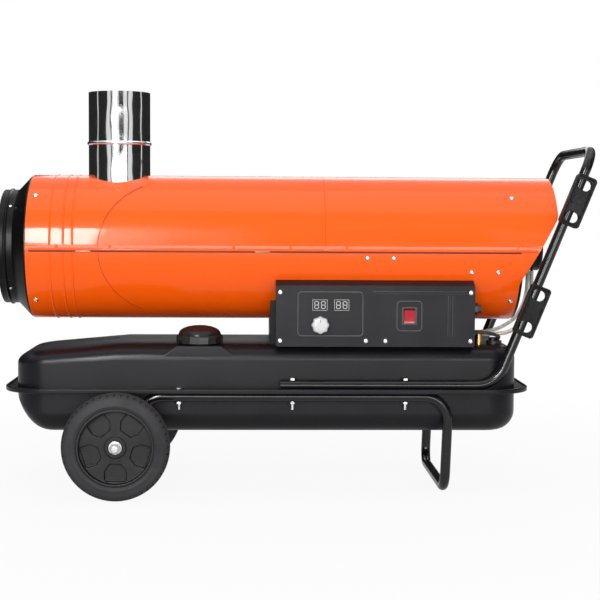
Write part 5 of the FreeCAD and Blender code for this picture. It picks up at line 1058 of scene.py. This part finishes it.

# Mains switch: a red see-through rocker in a black snap-in frame.
# The rocker rests with its top edge out, and has a faint red painted glow.
SWITCH_EDGE = 0.0005
rocker_red = finish(
    "rocker_red", color=(0.4, 0.006, 0.016), worn=(0.6, 0.12, 0.13), wear=0.2, rough=(0.12, 0.2),
    grain=300, depth=0.00002)
# A faint red painted glow brightens the rocker.
set_inputs(rocker_red.node_tree.nodes["Principled BSDF"],
           {"Emission Color": (0.8, 0.02, 0.04, 1), "Emission Strength": 0.02})
softened("switch_rocker", "switch_paddle", rocker_red, "red_plastic", SWITCH_EDGE, "rocker")
softened("switch_frame", "switch_bezel", moulded_black, "black_plastic", SWITCH_EDGE)

# Sheet screws: pressed pan heads with a cross recess, zinc plated.
# One head is modelled and copied to every place on the shells and the panel.
TUBE_R = 0.14
HEAD_STEPS = 28
RECESS_PLACE, RECESS_SIZE = (0, 0, 0.0022), (0.0046, 0.001, 0.0014)
FASTENER_ANGLE = 30
# Shell screws: place along the tube, and angle up from the near side.
SHELL_SCREWS = (
    (-0.491, 45), (-0.491, -45), (0.418, 45), (0.418, -45), (0.138, -6.4), (0.188, -6.4), (0.337, -17.5),
    (0.388, -17.5),
)
PANEL_SCREWS = (
    (-0.027, 0.2915), (-0.027, 0.383), (0.3335, 0.2915), (0.3335, 0.383), (0.135, 0.2915), (0.172, 0.2915),
)
head_outline = [
    (0.0, 0.0003), (0.0, 0.0045), (0.0006, 0.0046), (0.0014, 0.0042), (0.0021, 0.0032), (0.0024, 0.0018),
    (0.0024, 0.0003),
]


def copies(name, template, transforms):
    pieces = []
    for transform in transforms:
        piece = template.copy()
        piece.data = template.data.copy()
        scene.collection.objects.link(piece)
        piece.data.transform(transform)
        pieces.append(piece)
    result = joined(name, pieces)
    smooth(result, FASTENER_ANGLE)
    return result


def quarter_turn(sign):
    """Lays a head that stands on Z towards the near side, or the far one for -1."""
    return Matrix.Rotation(math.radians(90 * sign), 4, "X")


def radial(x, radius, angle):
    """Turns Z outwards from the tube's axis; angle 0 is the near side, 90 the top."""
    lean = math.radians(angle)
    spot = Vector((x, -radius * math.cos(lean), TUBE_AXIS_Z + radius * math.sin(lean)))
    return Matrix.Translation(spot) @ Matrix.Rotation(math.radians(90 - angle), 4, "X")


bright_screw = finish(
    "bright_screw", color=grey(0.72), worn=(0.5, 0.49, 0.46), wear=0.3, rough=(0.16, 0.3), grain=400,
    depth=0.00003, metallic=1.0, clouds=90)
head = lathe("screw_template", head_outline, (0, 0, 1), (0, 0, 0), HEAD_STEPS)
cutters = []
for turn in (0, math.pi / 2):
    bpy.ops.object.select_all(action="DESELECT")
    bpy.ops.mesh.primitive_cube_add(size=1, location=RECESS_PLACE, scale=RECESS_SIZE, rotation=(0, 0, turn))
    bpy.ops.object.transform_apply()
    cutters.append(bpy.context.object)
combine(head, joined("cross_recess", cutters), "DIFFERENCE", crossed=True)
shell_places = []
for x, angle in SHELL_SCREWS:
    shell_places += [radial(x, TUBE_R, angle), radial(x, TUBE_R, 180 - angle)]
panel_places = [Matrix.Translation((x, PANEL_Y, z)) @ quarter_turn(1) for x, z in PANEL_SCREWS]
for name, places, node_name in (("shell_screw_heads", shell_places, "shell_screws"),
                                ("panel_screw_heads", panel_places, "panel_screws")):
    fitted(copies(name, head, places), bright_screw, "zinc_steel", node_name)
bpy.data.objects.remove(head)

# Blind rivets: low domes along the lapped lip, painted with it, and bare ones on the outlet ring.
# Each has the dimple of its pulled stem.
RIVET_STEPS = 20
LIP_RIVETS = (-0.447, -0.347, -0.114, -0.008, 0.099, 0.424)
LIP_FACE_Y, LIP_RIVET_Z = 0.1418, TUBE_AXIS_Z + 0.0042
RING_X, RING_FACE_R, RING_ANGLES = -0.542, 0.111, (45, 135, -45, 225)
rivet_outline = [
    (0.0, 0.0003), (0.0, 0.003), (0.0006, 0.0029), (0.0012, 0.0022), (0.0014, 0.0012), (0.0011, 0.0009),
    (0.0011, 0.0003),
]
dome = lathe("rivet_template", rivet_outline, (0, 0, 1), (0, 0, 0), RIVET_STEPS)
lip_places = []
for x in LIP_RIVETS:
    for side in (-1, 1):
        spot = Matrix.Translation((x, side * LIP_FACE_Y, LIP_RIVET_Z))
        lip_places.append(spot @ quarter_turn(-side))
fitted(copies("lip_rivet_heads", dome, lip_places), orange, "orange_paint")
ring_places = [radial(RING_X, RING_FACE_R, angle) for angle in RING_ANGLES]
fitted(copies("outlet_rivet_heads", dome, ring_places), bright_screw, "zinc_steel", "rivets")
bpy.data.objects.remove(dome)

# The scene is brought up to date at the end. The visual model stays in the CAD model's
# box.
bpy.context.view_layer.update()
